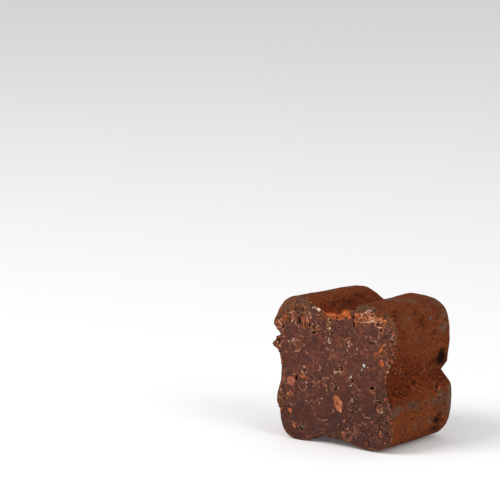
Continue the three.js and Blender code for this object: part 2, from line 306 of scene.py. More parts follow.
def cut_place(pixels):
    """Where the lines of sight through pixels meet the cut or its broken rim: x and z from the axis."""
    pixels = np.asarray(pixels, float)
    across = (pixels[..., :1] - PICTURE / 2) / FOCAL_PIXELS
    up = (PICTURE / 2 - pixels[..., 1:]) / FOCAL_PIXELS
    sight = across * RIGHT + up * UP - BACK
    depth = 0.0
    for _ in range(SIGHT_ROUNDS):
        far = (CUT_Y + depth - LOCAL_CAMERA[1]) / sight[..., 1]
        x = LOCAL_CAMERA[0] + sight[..., 0] * far
        z = LOCAL_CAMERA[2] + sight[..., 2] * far
        depth = mix(depth, crag_depth(x, z, *cut_bearing(x, z)), 0.5)
    return np.stack([x, z], axis=-1)


def to_pixels(points):
    away = points - LOCAL_CAMERA
    depth = -(away @ BACK)
    return np.stack([
        PICTURE / 2 + FOCAL_PIXELS * (away @ RIGHT) / depth,
        PICTURE / 2 - FOCAL_PIXELS * (away @ UP) / depth], axis=-1)


def placed(marks):
    return [{"place": cut_place(mark["pixel"]), **mark} for mark in marks]


# ---- Marks on the cut --------------------------------------------------------------------------

# Nibs cut through by the knife, flush with the paste: pixel, half sizes across and up, the stretch of
# torn edge round them, as a middle direction and a spread in degrees, its strength, and the nib's tone.
RINGS = rows(
    "pixel half arc edge tone",
    ((295.6, 346.3), (1, 0.78), (240, 125), 0.9, 0.3), ((331.3, 344.8), (1.15, 0.82), (262, 130), 1, 0.35),
    ((351.8, 347.4), (1.05, 1.1), (245, 135), 0.8, 0.15), ((354.6, 406.6), (1.2, 0.8), (250, 150), 1, 0.2),
    ((302.6, 385.6), (0.66, 0.76), (275, 120), 0.9, -0.3), ((317, 407.7), (0.75, 1), (150, 120), 0.6, 0.7),
    ((292.2, 399.4), (0.95, 0.68), (275, 90), 0.8, 0.1), ((309, 399.4), (0.62, 0.42), (285, 95), 0.7, 0),
    ((360.5, 384), (0.85, 1), (190, 120), 0.7, 0.6), ((367.6, 414), (0.95, 0.55), (265, 110), 0.7, 0),
    ((340.8, 355.4), (0.55, 0.5), (90, 100), 0.6, 0.2),
    ((322.5, 416.6), (1.05, 0.55), (270, 75), 0.6, -0.2),
    ((387.7, 423.6), (0.55, 0.46), (90, 180), 0.8, -1), ((379.6, 428.6), (0.85, 0.48), (95, 120), 0.9, 0.1),
    ((372.2, 333.2), (1.2, 1.25), (300, 110), 0.5, -0.4),
    ((386.6, 337.2), (0.55, 0.55), (0, 150), 0.6, -0.9),
    ((386.8, 348.4), (0.58, 0.6), (180, 110), 0.6, -0.7),
    ((326.2, 379.5), (0.55, 0.34), (100, 150), 0.7, 0.7), ((337.8, 369.4), (0.6, 0.8), (35, 110), 0.8, 0.2),
    ((301.4, 370.2), (0.6, 0.85), (20, 120), 0.8, 0.1), ((316, 367.6), (0.8, 0.62), (30, 110), 0.5, 0.5),
    ((358, 421.6), (0.9, 0.5), (290, 90), 0.6, 0.3), ((372.6, 440), (0.45, 0.35), (180, 170), 0.8, -0.6),
    ((329.6, 408.6), (0.7, 0.85), (330, 100), 0.5, 0.2), ((311, 352), (0.8, 0.6), (250, 90), 0.5, 0.1),
)
SEEDED_RINGS = 46
FIELD = (9.3, 9.2)                             # half sizes of the cut that the seeded marks spread over

# Gaps and pits, painted dark with the shade in them: pixel, half sizes across and up, turn in degrees, depth,
# and darkness if not 1.
GAPS = rows(
    "pixel half turn depth dark",
    ((347, 345.2), (0.2, 0.5), 0, 0.7), ((341, 327.4), (0.16, 0.14), 0, 0.4),
    ((296.6, 335.6), (0.13, 0.14), 0, 0.4), ((330, 320.6), (0.14, 0.36), 10, 0.4),
    ((313.2, 327.6), (0.34, 0.26), 20, 0.6), ((298.2, 313.4), (0.6, 0.9), 15, 0.4, 0.7),
    ((298.6, 320.6), (0.42, 0.6), -20, 0.4, 0.82), ((302.4, 309.6), (0.5, 0.28), 30, 0.3, 0.62),
    ((309, 324), (0.22, 0.3), 0, 0.4, 0.75), ((288.6, 319), (0.46, 0.3), 10, 0.3, 0.7),
    ((282.6, 326.2), (0.2, 0.55), -20, 0.2, 0.65), ((278.4, 318.4), (0.5, 0.18), -10, 0.15, 0.6),
    ((313.6, 326.6), (0.26, 0.36), 10, 0.4, 0.85), ((313.6, 332.6), (0.4, 0.2), 10, 0.4),
    ((277.6, 318.6), (0.36, 0.18), 20, 0.3), ((282.6, 327.6), (0.3, 0.2), 30, 0.3),
    ((352, 380.6), (0.26, 0.36), 0, 0.7), ((371.5, 388.8), (0.5, 0.2), 12, 0.8),
    ((290.6, 393.6), (0.26, 0.17), 20, 0.6), ((295.9, 378.6), (0.2, 0.52), -24, 0.7),
    ((286.6, 380.8), (0.22, 0.26), 30, 0.5), ((305, 373.6), (0.14, 0.26), -20, 0.5),
    ((301.2, 427.4), (0.34, 0.36), 0, 0.5), ((325.6, 388.4), (0.16, 0.32), 20, 0.5),
    ((340.8, 367.6), (0.16, 0.22), 20, 0.5), ((331.6, 333.2), (0.34, 0.15), -10, 0.4),
    ((364, 315.4), (0.45, 0.24), 10, 0.5), ((373, 312.2), (0.62, 0.16), 0, 0.5),
    ((391.3, 342), (0.22, 0.34), 0, 0.4, 0.65), ((381.2, 328.6), (0.25, 0.62), -10, 0.5),
    ((389.4, 362.4), (0.22, 0.42), -20, 0.5), ((378.6, 402.6), (0.4, 0.2), -10, 0.5),
    ((355.2, 396.6), (0.12, 0.24), -20, 0.4), ((390, 406.6), (0.2, 0.36), 0, 0.4),
    ((391.4, 423.6), (0.2, 0.24), 0, 0.4), ((278.6, 340.6), (0.34, 0.46), 20, 0.6),
    ((382, 431.6), (0.2, 0.36), 10, 0.4), ((331.6, 387), (0.22, 0.16), 0, 0.4),
)
SEEDED_GAPS = 44

# Cracks, painted dark with the shade in them: the pixels they run through, half width and depth.
CRACKS = rows(
    "pixels half depth",
    (((353.9, 312), (353.3, 318), (354.6, 326.4)), 0.1, 0.7),
    (((368.2, 337.2), (369.8, 342), (374, 344)), 0.13, 0.6),
    (((323.6, 323), (328, 327.2), (331.4, 329.8)), 0.07, 0.4),
    (((388.6, 389), (389.4, 394.6), (391, 399)), 0.08, 0.3),
)

# Torn stretches of the cut, all crumbs, with painted shade in their hollows: the pixel of the middle and half
# sizes in pixels.
TORN = rows(
    "pixel half amount",
    ((296, 314), (14, 7), 0.9), ((302, 323), (7, 5), 0.8), ((314.5, 327), (7, 5), 0.55),
    ((368.5, 316.5), (17, 6), 1), ((387, 330), (6, 9), 0.65), ((391, 352), (5.5, 13), 0.8),
    ((383, 424), (9, 21), 0.45), ((379.6, 405), (4.5, 8), 0.5), ((281.5, 398), (3.5, 20), 0.5),
    ((280, 334), (4.5, 18), 0.8), ((337, 437), (10, 4.5), 0.25), ((362, 445), (10, 3.4), 0.25),
    ((289, 396), (6, 6), 0.35),
)

# Knots of curled shreds: the pixel of the middle, half sizes in pixels, how many shreds, which colours,
# how open the paste between them is and how much shade is painted in its hollows, and how coarse they are if
# not 1.
CURLS = rows(
    "pixel half count colours amount coarse",
    ((304.6, 370.6), (2.6, 4.6), 12, "gold", 0.55), ((303.8, 376), (3.4, 2.6), 8, "orange", 0.5),
    ((340.4, 368.6), (3, 3.8), 14, "gold", 0.6), ((337.6, 373.4), (4.2, 3), 10, "rose", 0.4),
    ((350.8, 381.6), (2.4, 6.8), 11, "gold", 0.45), ((326, 389.4), (3, 3.6), 14, "gold", 0.7),
    ((333.4, 387.4), (5, 3.6), 14, "rose", 0.5), ((316.4, 383.6), (5.6, 3.4), 16, "rose", 0.35),
    ((354, 399), (2.6, 3.6), 5, "paste", 0.4), ((355, 409), (5.6, 2.6), 8, "rose", 0.2),
    ((289, 393.6), (3.6, 2.4), 12, "orange", 0.5), ((281.4, 396), (3, 4), 10, "rose", 0.5),
    ((294.6, 341.4), (4.4, 4.2), 14, "rose", 0.5), ((329.6, 340.4), (3.4, 4.2), 12, "rose", 0.5),
    ((347.2, 343.2), (4, 6), 20, "rose", 0.55), ((364.6, 366.6), (4.2, 4.6), 7, "paste", 0.3),
    ((380, 410), (3.2, 4), 26, "pale", 0.7), ((379.4, 403.6), (3, 3), 12, "rose", 0.6),
    ((372.4, 392.4), (3, 3), 8, "rose", 0.35), ((301, 427.2), (3.4, 3.4), 10, "paste", 0.35),
    ((372.2, 319), (5.4, 4.4), 26, "pale", 0.9, 1.7), ((362.4, 319.2), (7, 2.8), 22, "orange", 0.9, 1.5),
    ((367, 313), (4, 2), 8, "pale", 0.6, 1.4), ((380, 320.4), (4.4, 6.4), 26, "orange", 0.9, 1.5),
    ((357, 318.6), (1.8, 6.4), 18, "orange", 0.6), ((333, 316.8), (9, 1.6), 18, "orange", 0.2),
    ((391.8, 350), (3.2, 7.6), 24, "gold", 0.75), ((387, 327), (5, 6), 14, "rose", 0.75),
    ((381.4, 351), (3, 6), 14, "orange", 0.5), ((304.6, 321), (4, 3.4), 14, "orange", 0.9, 1.5),
    ((309, 316), (3, 3.6), 8, "rose", 0.7, 1.3), ((304, 326.4), (3, 1.4), 6, "orange", 0.7, 1.2),
    ((291.4, 312), (3.4, 1.8), 9, "rose", 0.9, 1.4), ((305.6, 311.6), (3.6, 2.4), 8, "gold", 0.8, 1.2),
    ((285.4, 319.4), (2.6, 4.4), 14, "orange", 0.8, 1.3), ((280, 323), (1.8, 3), 8, "pale", 0.7),
    ((314.6, 327.4), (5, 3.6), 12, "rose", 0.7, 1.3), ((328.6, 326.6), (3, 4), 9, "gold", 0.4),
    ((373.6, 343.6), (2.6, 3.6), 4, "gold", 0.1), ((382, 428), (6, 10), 22, "paste", 0.3),
    ((334, 436), (8, 3), 12, "paste", 0.25),
)

# Where the coat's powder reaches over the rim of the cut: the pixel of the middle and half sizes.
POWDERED = rows(
    "pixel half",
    ((288, 306), (10, 7)), ((306.5, 304.6), (7.5, 7)), ((315, 306), (6, 6)), ((361, 308), (12, 4.4)),
    ((376, 310), (6, 3.6)), ((275.2, 322), (2.6, 9)), ((276, 344), (4, 6)), ((277.6, 399), (4.2, 13)),
)

# Noise of the cut, in layers: the uneven edges of its marks, of its torn stretches and of its rim.
WOBBLE = ((0.26, 0.62, 41), (0.14, 0.3, 42))
TORN_EDGE = ((0.28, 1.1, 31), (0.16, 0.5, 32))
TORN_RELIEF = ((0.6, 0.75, 71), (0.5, 0.36, 72))
RIM_EDGE = ((0.02, 0.8, 81), (0.02, 0.4, 82))
LIP_LENGTHS = (0.4, 1.0)                       # at its left and its right end
LIP_ENDS = (2.9, 1.9)                          # to the left and the right of the lip's middle
CUT_SHARES = ("crumb", "gap", "tone", "powder", "lip", "low")


def seeded_rings():
    random = np.random.default_rng(7)
    rings = []
    for _ in range(SEEDED_RINGS):
        size = random.uniform(0.28, 0.85)
        rings.append({
            "place": tuple(random.uniform(-1, 1, 2) * FIELD),
            "half": (size, size * random.uniform(0.6, 1.1)),
            "arc": (random.uniform(0, 360), random.uniform(40, 110)),
            "edge": random.uniform(0.4, 0.9),
            "tone": random.uniform(-0.5, 0.5),
        })
    return rings


def seeded_gaps():
    random = np.random.default_rng(8)
    gaps = []
    for _ in range(SEEDED_GAPS):
        size = random.uniform(0.05, 0.11)
        gaps.append({
            "place": tuple(random.uniform(-1, 1, 2) * FIELD),
            "half": (size, size * random.uniform(0.6, 2.0)),
            "turn": random.uniform(0, 180),
            "depth": random.uniform(0.15, 0.35),
        })
    return gaps


ALL_RINGS = placed(RINGS) + seeded_rings()
ALL_GAPS = placed(GAPS) + seeded_gaps()
CRACK_LINES = [[cut_place(pixel) for pixel in crack["pixels"]] for crack in CRACKS]


def spot_share(pixels, spot, ragged, full=0.7, end=1.15):
    """From 1 inside an oval spot of the picture to 0 outside it. It may be turned, clockwise, or squarer."""
    u, v = turned(pixels[..., 0], pixels[..., 1], spot["pixel"], spot.get("turn", 0))
    power = spot.get("power", 2)
    away = (np.abs(u / spot["half"][0]) ** power + np.abs(v / spot["half"][1]) ** power) ** (1 / power)
    return fade(spot.get("full", full), spot.get("end", end), away + ragged)


def line_distance(x, z, line):
    """How far each point is from a line of straight stretches."""
    nearest = np.full(x.shape, np.inf)
    for start, end in zip(line[:-1], line[1:]):
        run = np.subtract(end, start)
        share = clamp01(((x - start[0]) * run[0] + (z - start[1]) * run[1]) / (run @ run))
        nearest = np.minimum(nearest, np.hypot(x - start[0] - share * run[0], z - start[1] - share * run[1]))
    return nearest


def torn_amount(x, z, pixels):
    """From 0, cut smooth, to 1, torn to crumbs."""
    ragged = layered_noise(x, 0, z, *TORN_EDGE)
    amount = np.zeros(x.shape)
    for part in TORN + CURLS:
        amount = np.maximum(amount, part["amount"] * spot_share(pixels, part, ragged))
    return amount


def squiggles(x, z, wave, seed, width):
    """Thin bent lines where smooth noise crosses nought."""
    bend_x = x + 0.5 * wave * noise(x, 3.1, z, wave * 0.8, seed + 1)
    bend_z = z + 0.5 * wave * noise(x, 7.7, z, wave * 0.8, seed + 2)
    return fade(0, width, np.abs(noise(bend_x, 0, bend_z, wave, seed)))


def lip_place(x):
    """From -1 to 1 along the fresh powder on the lip of the top hollow."""
    away = x - LIP["middle"]
    return away / np.where(away < 0, *LIP_ENDS)


class CutMarks:
    """Relief and colours of the cut at the given places: depth behind the plane, and shares from 0 to 1."""

    def __init__(self, x, z, angle, outward):
        self.x, self.z, self.angle, self.outward = x, z, angle, outward
        self.ground = crag_depth(x, z, angle, outward)
        self.depth = self.ground
        self.pixels = to_pixels(np.stack([x, CUT_Y + self.ground, z], axis=-1))
        self.torn = torn_amount(x, z, self.pixels)
        # gap is painted shade: dark in the pits, cracks and torn hollows.
        self.crumb = self.gap = np.zeros(x.shape)
        self.wobble = layered_noise(x, 0, z, *WOBBLE)
        self.add_flecks()
        for ring in ALL_RINGS:
            self.add_ring(ring)
        self.add_torn_relief()
        for gap in ALL_GAPS:
            self.add_gap(gap)
        for crack, line in zip(CRACKS, CRACK_LINES):
            self.add_crack(crack, line)
        self.add_rim()
        self.low = smoothstep(2, -8, z - 0.25 * x + 1.5 * noise(x, 0, z, 3.0, 43))

    def lift(self, name, values):
        """Raises a share to these values where they are higher."""
        setattr(self, name, np.maximum(getattr(self, name), values))

    def add_flecks(self):
        x, z = self.x, self.z
        patch = smoothstep(0.0, 0.6, noise(x, 1.7, z, 2.0, 51) + 0.7 * self.torn)
        lines = np.maximum(squiggles(x, z, 1.05, 53, 0.15), 0.85 * squiggles(x, z, 0.55, 57, 0.17))
        broken = smoothstep(-0.2, 0.35, noise(x, 5.5, z, 0.38, 61))
        dots = smoothstep(0.40, 0.62, noise(x, 9.1, z, 0.30, 63))
        specks = smoothstep(0.52, 0.70, noise(x, 2.6, z, 0.19, 64))
        self.lift("crumb", lines * broken * mix(0.16, 0.7, patch))
        self.lift("crumb", np.maximum(dots, specks) * mix(0.10, 0.6, patch))
        self.tone = 0.9 * noise(x, 6.1, z, 0.95, 66)
        self.depth = self.depth - 0.05 * self.crumb

    def add_ring(self, ring):
        u, v = turned(self.x, self.z, ring["place"], 0)
        half, (middle, spread) = ring["half"], ring["arc"]
        reach = np.hypot(u / half[0], v / half[1]) * (1 + self.wobble)
        past_edge = (reach - 1) * math.sqrt(half[0] * half[1])
        apart = np.abs((np.degrees(np.arctan2(v, u)) - middle + 180) % 360 - 180)
        on_arc = fade(0.7, 1.05, apart / spread)
        patchy = mix(0.1, 1, smoothstep(-0.35, 0.25, noise(self.x, 2.3, self.z, 0.34, 65)))
        edge = ring["edge"] * bell(past_edge / 0.085) * on_arc * patchy
        # The crack beside the torn edge is painted dark with the shade in it.
        crack = bell((past_edge - 0.15) / 0.06) * on_arc * smoothstep(0.5, 0.9, ring["edge"])
        inside = fade(0.85, 1.0, reach)
        self.lift("crumb", edge)
        self.lift("gap", 0.55 * crack * patchy)
        self.tone = mix(self.tone, ring["tone"], 0.7 * inside)
        self.crumb = self.crumb * (1 - 0.45 * inside)
        self.depth = self.depth - 0.07 * edge + 0.10 * crack - 0.02 * inside

    def add_torn_relief(self):
        x, z = self.x, self.z
        rough = layered_noise(x, 4.2, z, *TORN_RELIEF)
        bright = smoothstep(0.0, 0.5, -rough + 0.3 * noise(x, 8.8, z, 0.5, 73))
        self.depth = self.depth + self.torn * 0.34 * (rough + 0.35)
        self.lift("crumb", self.torn * bright)
        # Painted shade in the hollows of the torn paste, darker where they are lower.
        self.lift("gap", 0.85 * self.torn * smoothstep(0.18, 0.62, rough))

    def add_gap(self, gap):
        u, v = turned(self.x, self.z, gap["place"], gap["turn"])
        reach = np.hypot(u / gap["half"][0], v / gap["half"][1]) * (1 + 1.3 * self.wobble)
        # Painted shade in the gap.
        self.lift("gap", gap.get("dark", 1.0) * fade(0.6, 1.2, reach))
        self.lift("crumb", bell((reach - 1.35) / 0.3) * (0.45 if "pixel" in gap else 0.3))
        self.depth = self.depth + gap["depth"] * fade(0.3, 1.2, reach)

    def add_crack(self, crack, line):
        half = crack["half"]
        away = line_distance(self.x, self.z, line) / half + 0.3 * self.wobble
        beside = line_distance(self.x - 2.6 * half, self.z, line) / half
        self.lift("gap", fade(0.7, 1.5, away))
        self.lift("crumb", 0.9 * fade(0.8, 1.9, beside))
        self.depth = self.depth + crack["depth"] * fade(0.4, 1.6, away)

    def add_rim(self):
        """Where the coat's powder reaches over the rim, and the lip of the top hollow."""
        _, width = rim_at(self.angle)
        ragged = layered_noise(self.x, 0, self.z, *RIM_EDGE)
        border = 0.988 - 0.2 * (width - RIM_LEAST["width"])
        self.powder = smoothstep(border - 0.012, border + 0.008, self.outward + ragged)
        for spot in POWDERED:
            self.lift("powder", spot_share(self.pixels, spot, 7 * ragged))
        across = lip_place(self.x)
        on_lip = fade(0.8, 1.0, np.abs(across)) * (self.z > 0)
        border = mix(0.985, 0.962, clamp01(0.5 + 0.5 * across))
        self.lip = on_lip * smoothstep(border, border + 0.015, self.outward + 0.4 * ragged)
        self.powder = self.powder * (1 - self.lip)
        self.gap = self.gap * (1 - 0.85 * self.powder) * (1 - self.lip)
        self.crumb = self.crumb * (1 - 0.8 * self.powder)


def cut_marks_at(x, z):
    return CutMarks(x, z, *cut_bearing(x, z))


# ---- Meshes ------------------------------------------------------------------------------------

SETTLED = 0.5                                  # how far a settled middle is off the ground, in its sizes

# How a piece is closed behind its border: rings, each a scale and how far back, and how far back from
# the plane of the cut the last point is.
CUT_INSETS = ((0.990, 0.12), (0.965, 2.2))
CUT_BACK = 2.6
COAT_INSETS = ((0.970, 0.5), (0.94, 2.4))
COAT_BACK = 2.8


def to_world(points):
    return (points + BOX_OFFSET + np.array([0, 0, AXIS_HEIGHT])) * MM


def ground_of(pieces):
    """The surface of these pieces, for finding the place on it that is nearest to a point."""
    mesh = bmesh.new()
    for piece in pieces:
        mesh.from_mesh(piece.data)
    tree = BVHTree.FromBMesh(mesh)
    mesh.free()
    return tree


def settled(middles, sizes, ground, limit):
    """The middles, but those that stand off the ground by more than the limit are moved until they touch."""
    moved = middles.copy()
    for number, (middle, size) in enumerate(zip(to_world(middles), sizes)):
        foot, out, _, _ = ground.find_nearest(middle)
        gap = Vector(middle) - foot
        away = gap.length / MM
        if gap.dot(out) > 0 and away > limit * size:
            moved[number] -= (away - SETTLED * size) * np.array(gap.normalized())
    return moved


def make_mesh(name, points, polygons, shares=None, colours=None, smooth=True):
    """A mesh from local places in millimetres. polygons are arrays of corners, 3 or more to a row."""
    mesh = bpy.data.meshes.new(name)
    world = to_world(points)
    world[:, 2] = np.maximum(world[:, 2], 0)
    corners = np.concatenate([part.reshape(-1) for part in polygons])
    totals = np.concatenate([np.full(len(part), part.shape[1]) for part in polygons])
    mesh.vertices.add(len(world))
    mesh.vertices.foreach_set("co", world.astype(np.float32).reshape(-1))
    mesh.loops.add(len(corners))
    mesh.loops.foreach_set("vertex_index", corners.astype(np.int32))
    mesh.polygons.add(len(totals))
    mesh.polygons.foreach_set("loop_start", (np.cumsum(totals) - totals).astype(np.int32))
    mesh.polygons.foreach_set("use_smooth", np.full(len(totals), smooth))
    mesh.update(calc_edges=True)
    for share, values in (shares or {}).items():
        layer = mesh.attributes.new(share, "FLOAT", "POINT")
        layer.data.foreach_set("value", np.asarray(values, np.float32).reshape(-1))
    if colours is not None:
        layer = mesh.attributes.new("colour", "FLOAT_COLOR", "POINT")
        layer.data.foreach_set("color", colours.astype(np.float32).reshape(-1))
    piece = bpy.data.objects.new(name, mesh)
    bpy.context.scene.collection.objects.link(piece)
    return piece


def repeated(polygons, points, count):
    """The polygons of a shape with this many points, for as many such shapes, one after another."""
    return (polygons[None] + points * np.arange(count)[:, None, None]).reshape(-1, polygons.shape[1])


def square_grid(steps):
    """A square grid from -1 to 1: its points' sides a and b, its quads, and its border in order."""
    b, a = np.meshgrid(*[np.linspace(-1, 1, steps + 1)] * 2, indexing="ij")
    index = np.arange((steps + 1) ** 2).reshape(steps + 1, -1)
    quads = np.stack([index[:-1, :-1], index[:-1, 1:], index[1:, 1:], index[1:, :-1]], axis=-1).reshape(-1, 4)
    border = np.concatenate([index[0, :-1], index[:-1, -1], index[-1, :0:-1], index[:0:-1, 0]])
    return a.reshape(-1), b.reshape(-1), quads, border


def ring_polygons(first_ring, second_ring):
    """Quads between two closed rings of points."""
    return np.stack([first_ring, second_ring, np.roll(second_ring, -1), np.roll(first_ring, -1)], axis=-1)


def fan_polygons(ring, middle):
    return np.stack([np.roll(ring, -1), ring, np.full(len(ring), middle)], axis=-1)


def close_behind(points, ring, insets, middle_y):
    """Rings that follow a border inwards and back, and a point that closes them.

    How far back counts from the border where it is under 1, and else from the plane of the cut.
    """
    added, polygons = [], []
    last, count = ring, len(points)
    for scale, back in insets:
        place = points[ring] * [scale, 1, scale]
        place[:, 1] = place[:, 1] + back if back < 1 else back + CUT_Y
        added.append(place)
        new = count + np.arange(len(ring))
        polygons.append(ring_polygons(last, new))
        last, count = new, count + len(ring)
    added.append(np.array([[0, middle_y, 0]]))
    polygons.append(fan_polygons(last, count))
    return np.concatenate(added), polygons


def cut_mesh():
    a, b, quads, border = square_grid(CUT_STEPS)
    outward, angle = np.maximum(np.abs(a), np.abs(b)), np.arctan2(b, a)
    x, z = (side * outward for side in outline_point(angle, CUT_Y, 0))
    marks = CutMarks(x, z, angle, outward)
    points = np.stack([x, CUT_Y + marks.depth, z], axis=-1)
    extra, behind = close_behind(points, border, CUT_INSETS, CUT_Y + CUT_BACK)
    shares = {name: np.concatenate([getattr(marks, name), np.zeros(len(extra))]) for name in CUT_SHARES}
    shares["powder"][-len(extra):] = 1
    return make_mesh("cut_paste", np.concatenate([points, extra]), [quads, *behind], shares)


def side_points(angle, along):
    """The coat from the cut's rim to where the far face begins, for shares of the way from 0 to 1."""
    rim_x, rim_z = outline_point(angle, CUT_Y, 0)
    start = CUT_Y + crag_depth(rim_x, rim_z, angle, 1.0)
    straight = END_Y - END_RADIUS - start
    travelled = along * (straight + END_RADIUS * np.pi / 4)
    turn = np.maximum(0, travelled - straight) / END_RADIUS
    y = start + np.minimum(travelled, straight) + END_RADIUS * np.sin(turn)
    x, z = outline_point(angle, y, END_RADIUS * (1 - np.cos(turn)))
    return np.stack([x, y, z], axis=-1)


def far_points(a, b):
    outward, angle = np.maximum(np.abs(a), np.abs(b)), np.arctan2(b, a)
    turn = clamp01((outward - 1 + EDGE_SHARE) / EDGE_SHARE) * np.pi / 4
    y = END_Y - END_RADIUS * (1 - np.cos(turn))
    inset = END_RADIUS * (1 - np.sin(turn))
    x, z = (side * clamp01(outward / (1 - EDGE_SHARE)) for side in outline_point(angle, y, inset))
    return np.stack([x, y + coat_swell(x, y, z), z], axis=-1)


def grid_normals(points, polygons):
    """Outward directions at the points, from the quads that meet there."""
    corners = points[polygons]
    flat = np.cross(corners[:, 2] - corners[:, 0], corners[:, 3] - corners[:, 1])
    normals = np.zeros(points.shape)
    for corner in range(4):
        np.add.at(normals, polygons[:, corner], flat)
    return unit_vectors(normals)


def coat_mesh():
    a, b, quads, border = square_grid(COAT_STEPS)
    angle, along = np.meshgrid(np.arctan2(b[border], a[border]), np.linspace(0, 1, COAT_LENGTH_STEPS + 1))
    far = far_points(a, b)
    points = np.concatenate([far, side_points(angle, along)[:-1].reshape(-1, 3)])
    rings = [len(far) + step * len(border) + np.arange(len(border)) for step in range(COAT_LENGTH_STEPS)]
    rings.append(border)
    shell = [quads[:, ::-1], *(ring_polygons(*pair) for pair in zip(rings[:-1], rings[1:]))]
    normals = grid_normals(points, np.concatenate(shell))
    _, _, pressed = section_point(np.arctan2(points[:, 2], points[:, 0]), points[:, 1])
    pressed[:len(far)] *= smoothstep(END_Y - 1, END_Y - 2, far[:, 1])
    points, shares = coat_marks(points, normals, pressed)
    extra, behind = close_behind(points, rings[0], COAT_INSETS, CUT_Y + COAT_BACK)
    shares = {name: np.concatenate([values, np.zeros(len(extra))]) for name, values in shares.items()}
    polygons = shell + [part[:, ::-1] for part in behind]
    return make_mesh("powder_coat", np.concatenate([points, extra]), polygons, shares)


# ---- Marks on the coat -------------------------------------------------------------------------

# Patches with the powder rubbed off, partly painted sheen on the lobe tops and the far right edge: the pixel
# of the middle, half sizes in pixels, an amount, a power that makes the oval squarer where it is above 2, and
# a turn in degrees.
RUBBED_AND_SHEEN = rows(
    "pixel half amount power turn",
    ((437, 302.5), (12, 6), 0.6), ((424, 304), (20, 7), 0.28), ((398, 310), (12, 6), 0.22),
    ((440, 316), (12, 18), 0.34), ((419, 337), (11, 13), 0.26), ((406, 320), (8, 8), 0.3),
    ((441, 404), (11, 20), 0.5), ((420, 424), (16, 12), 0.28), ((444.5, 312), (4, 7), 0.6),
    ((430.5, 317.7), (2.4, 3.4), 0.85), ((429, 308), (4, 5), 0.55), ((408, 332), (2, 2), 0.6),
    ((415, 302.7), (4.5, 2.4), 0.5), ((403.2, 327.8), (1.6, 1.4), 0.7), ((409.5, 317.6), (5, 3.4), 0.55),
    ((443, 328), (5.6, 7), 0.7), ((418, 341), (6, 6), 0.4), ((411.6, 406.6), (6.4, 5.4), 0.95, 3.5, -12),
    ((422, 402.6), (6, 3), 0.45, 3, -16), ((397, 411), (7.4, 5), 0.8, 3.5, -20),
    ((430.2, 395.6), (2.4, 1.6), 0.9), ((434, 399), (2.6, 8), 0.7, 3),
    # The long strip along the far right edge is painted sheen, where light falls on that rim.
    ((440.8, 397), (4.4, 9.6), 0.95, 3.5), ((449, 400), (3, 19), 1, 4), ((445, 411), (4, 8), 0.6, 3),
    ((429.5, 421), (3.4, 4), 0.7, 3), ((416, 427), (3, 8), 0.45, 3, 20), ((404, 430), (6, 6), 0.3),
    ((404, 300.4), (16, 2.6), 0.55), ((389, 300), (5, 2), 0.8), ((332, 290.6), (8, 1.6), 0.6),
    ((300, 305), (12, 7), 0.5), ((308, 306), (5, 6), 0.6), ((366, 307), (9, 4), 0.6),
)

# Pits in the coat, painted dark with the shade in them: the pixel of the middle, half sizes in pixels, depth
# in millimetres, darkness, turn, and the shares of the half sizes up to which they are full and where they
# end.
COAT_PITS = rows(
    "pixel half depth dark turn full end",
    # The first three paint the shadow in the crease under the upper right lobe.
    ((442.8, 357), (4.6, 9), 0.3, 1, 0, 0.45, 1.3), ((441.6, 360), (7, 6.6), 0.3, 1, 0, 0.3, 1.3),
    ((435, 361), (7, 4), 0.1, 0.5, 0, 0, 1.3), ((437.2, 385.8), (1.2, 2.6), 0.5, 1, 12),
    ((437, 420), (4.6, 4.2), 0.2, 0.85, 0, 0.4, 1.3), ((440, 414.4), (2.4, 2.4), 0.2, 0.5, 0, 0.3, 1.3),
    ((434, 428.6), (6, 2.4), 0.1, 0.7, -24, 0.4, 1.3), ((412.6, 418.5), (2.6, 0.8), 0.1, 0.6),
    ((387.4, 394), (0.9, 4.5), 0.25, 0.9), ((390.4, 406.4), (1.6, 3.2), 0.25, 0.9),
    ((392.6, 424), (1.2, 2), 0.2, 0.8), ((389.2, 363), (1.4, 2.6), 0.2, 0.8),
    ((398, 350), (1.6, 2.8), 0.2, 0.7),
)

# Clusters of short dark scratches in the powder: the pixel of the middle, half sizes, how many.
SCRATCHED = rows(
    "pixel half count",
    ((394.6, 316), (5.6, 6.4), 12), ((423.6, 321), (3.6, 5.6), 10), ((416, 311), (4, 3), 3),
    ((400.6, 339.6), (3, 3), 3), ((361.6, 295.4), (7, 2.6), 14), ((341, 300.6), (12, 5), 16),
    ((433, 363), (5, 6), 9), ((436, 393), (7, 9), 10), ((396, 392), (8, 8), 10), ((436.4, 419), (6, 5), 8),
    ((440, 318), (6, 12), 7),
)
SCRATCH_SIZES = ((1.2, 2.6), (0.5, 0.9))       # half length and half width in pixels
SCRATCH_TURN = (42, 18)                        # in degrees, and how much it varies
SCRATCH_DEPTH = 0.1
SEEDED_PITS = 150                              # small pits all over the coat
SEEDED_PIT_SIZES = (0.10, 0.26)
# The seeded pits are painted dark with the shade in them, and sunk deeper where darker.
PIT_DARKNESS = (0.3, 0.75)
PIT_DEPTH = 0.12                               # where it is fully dark

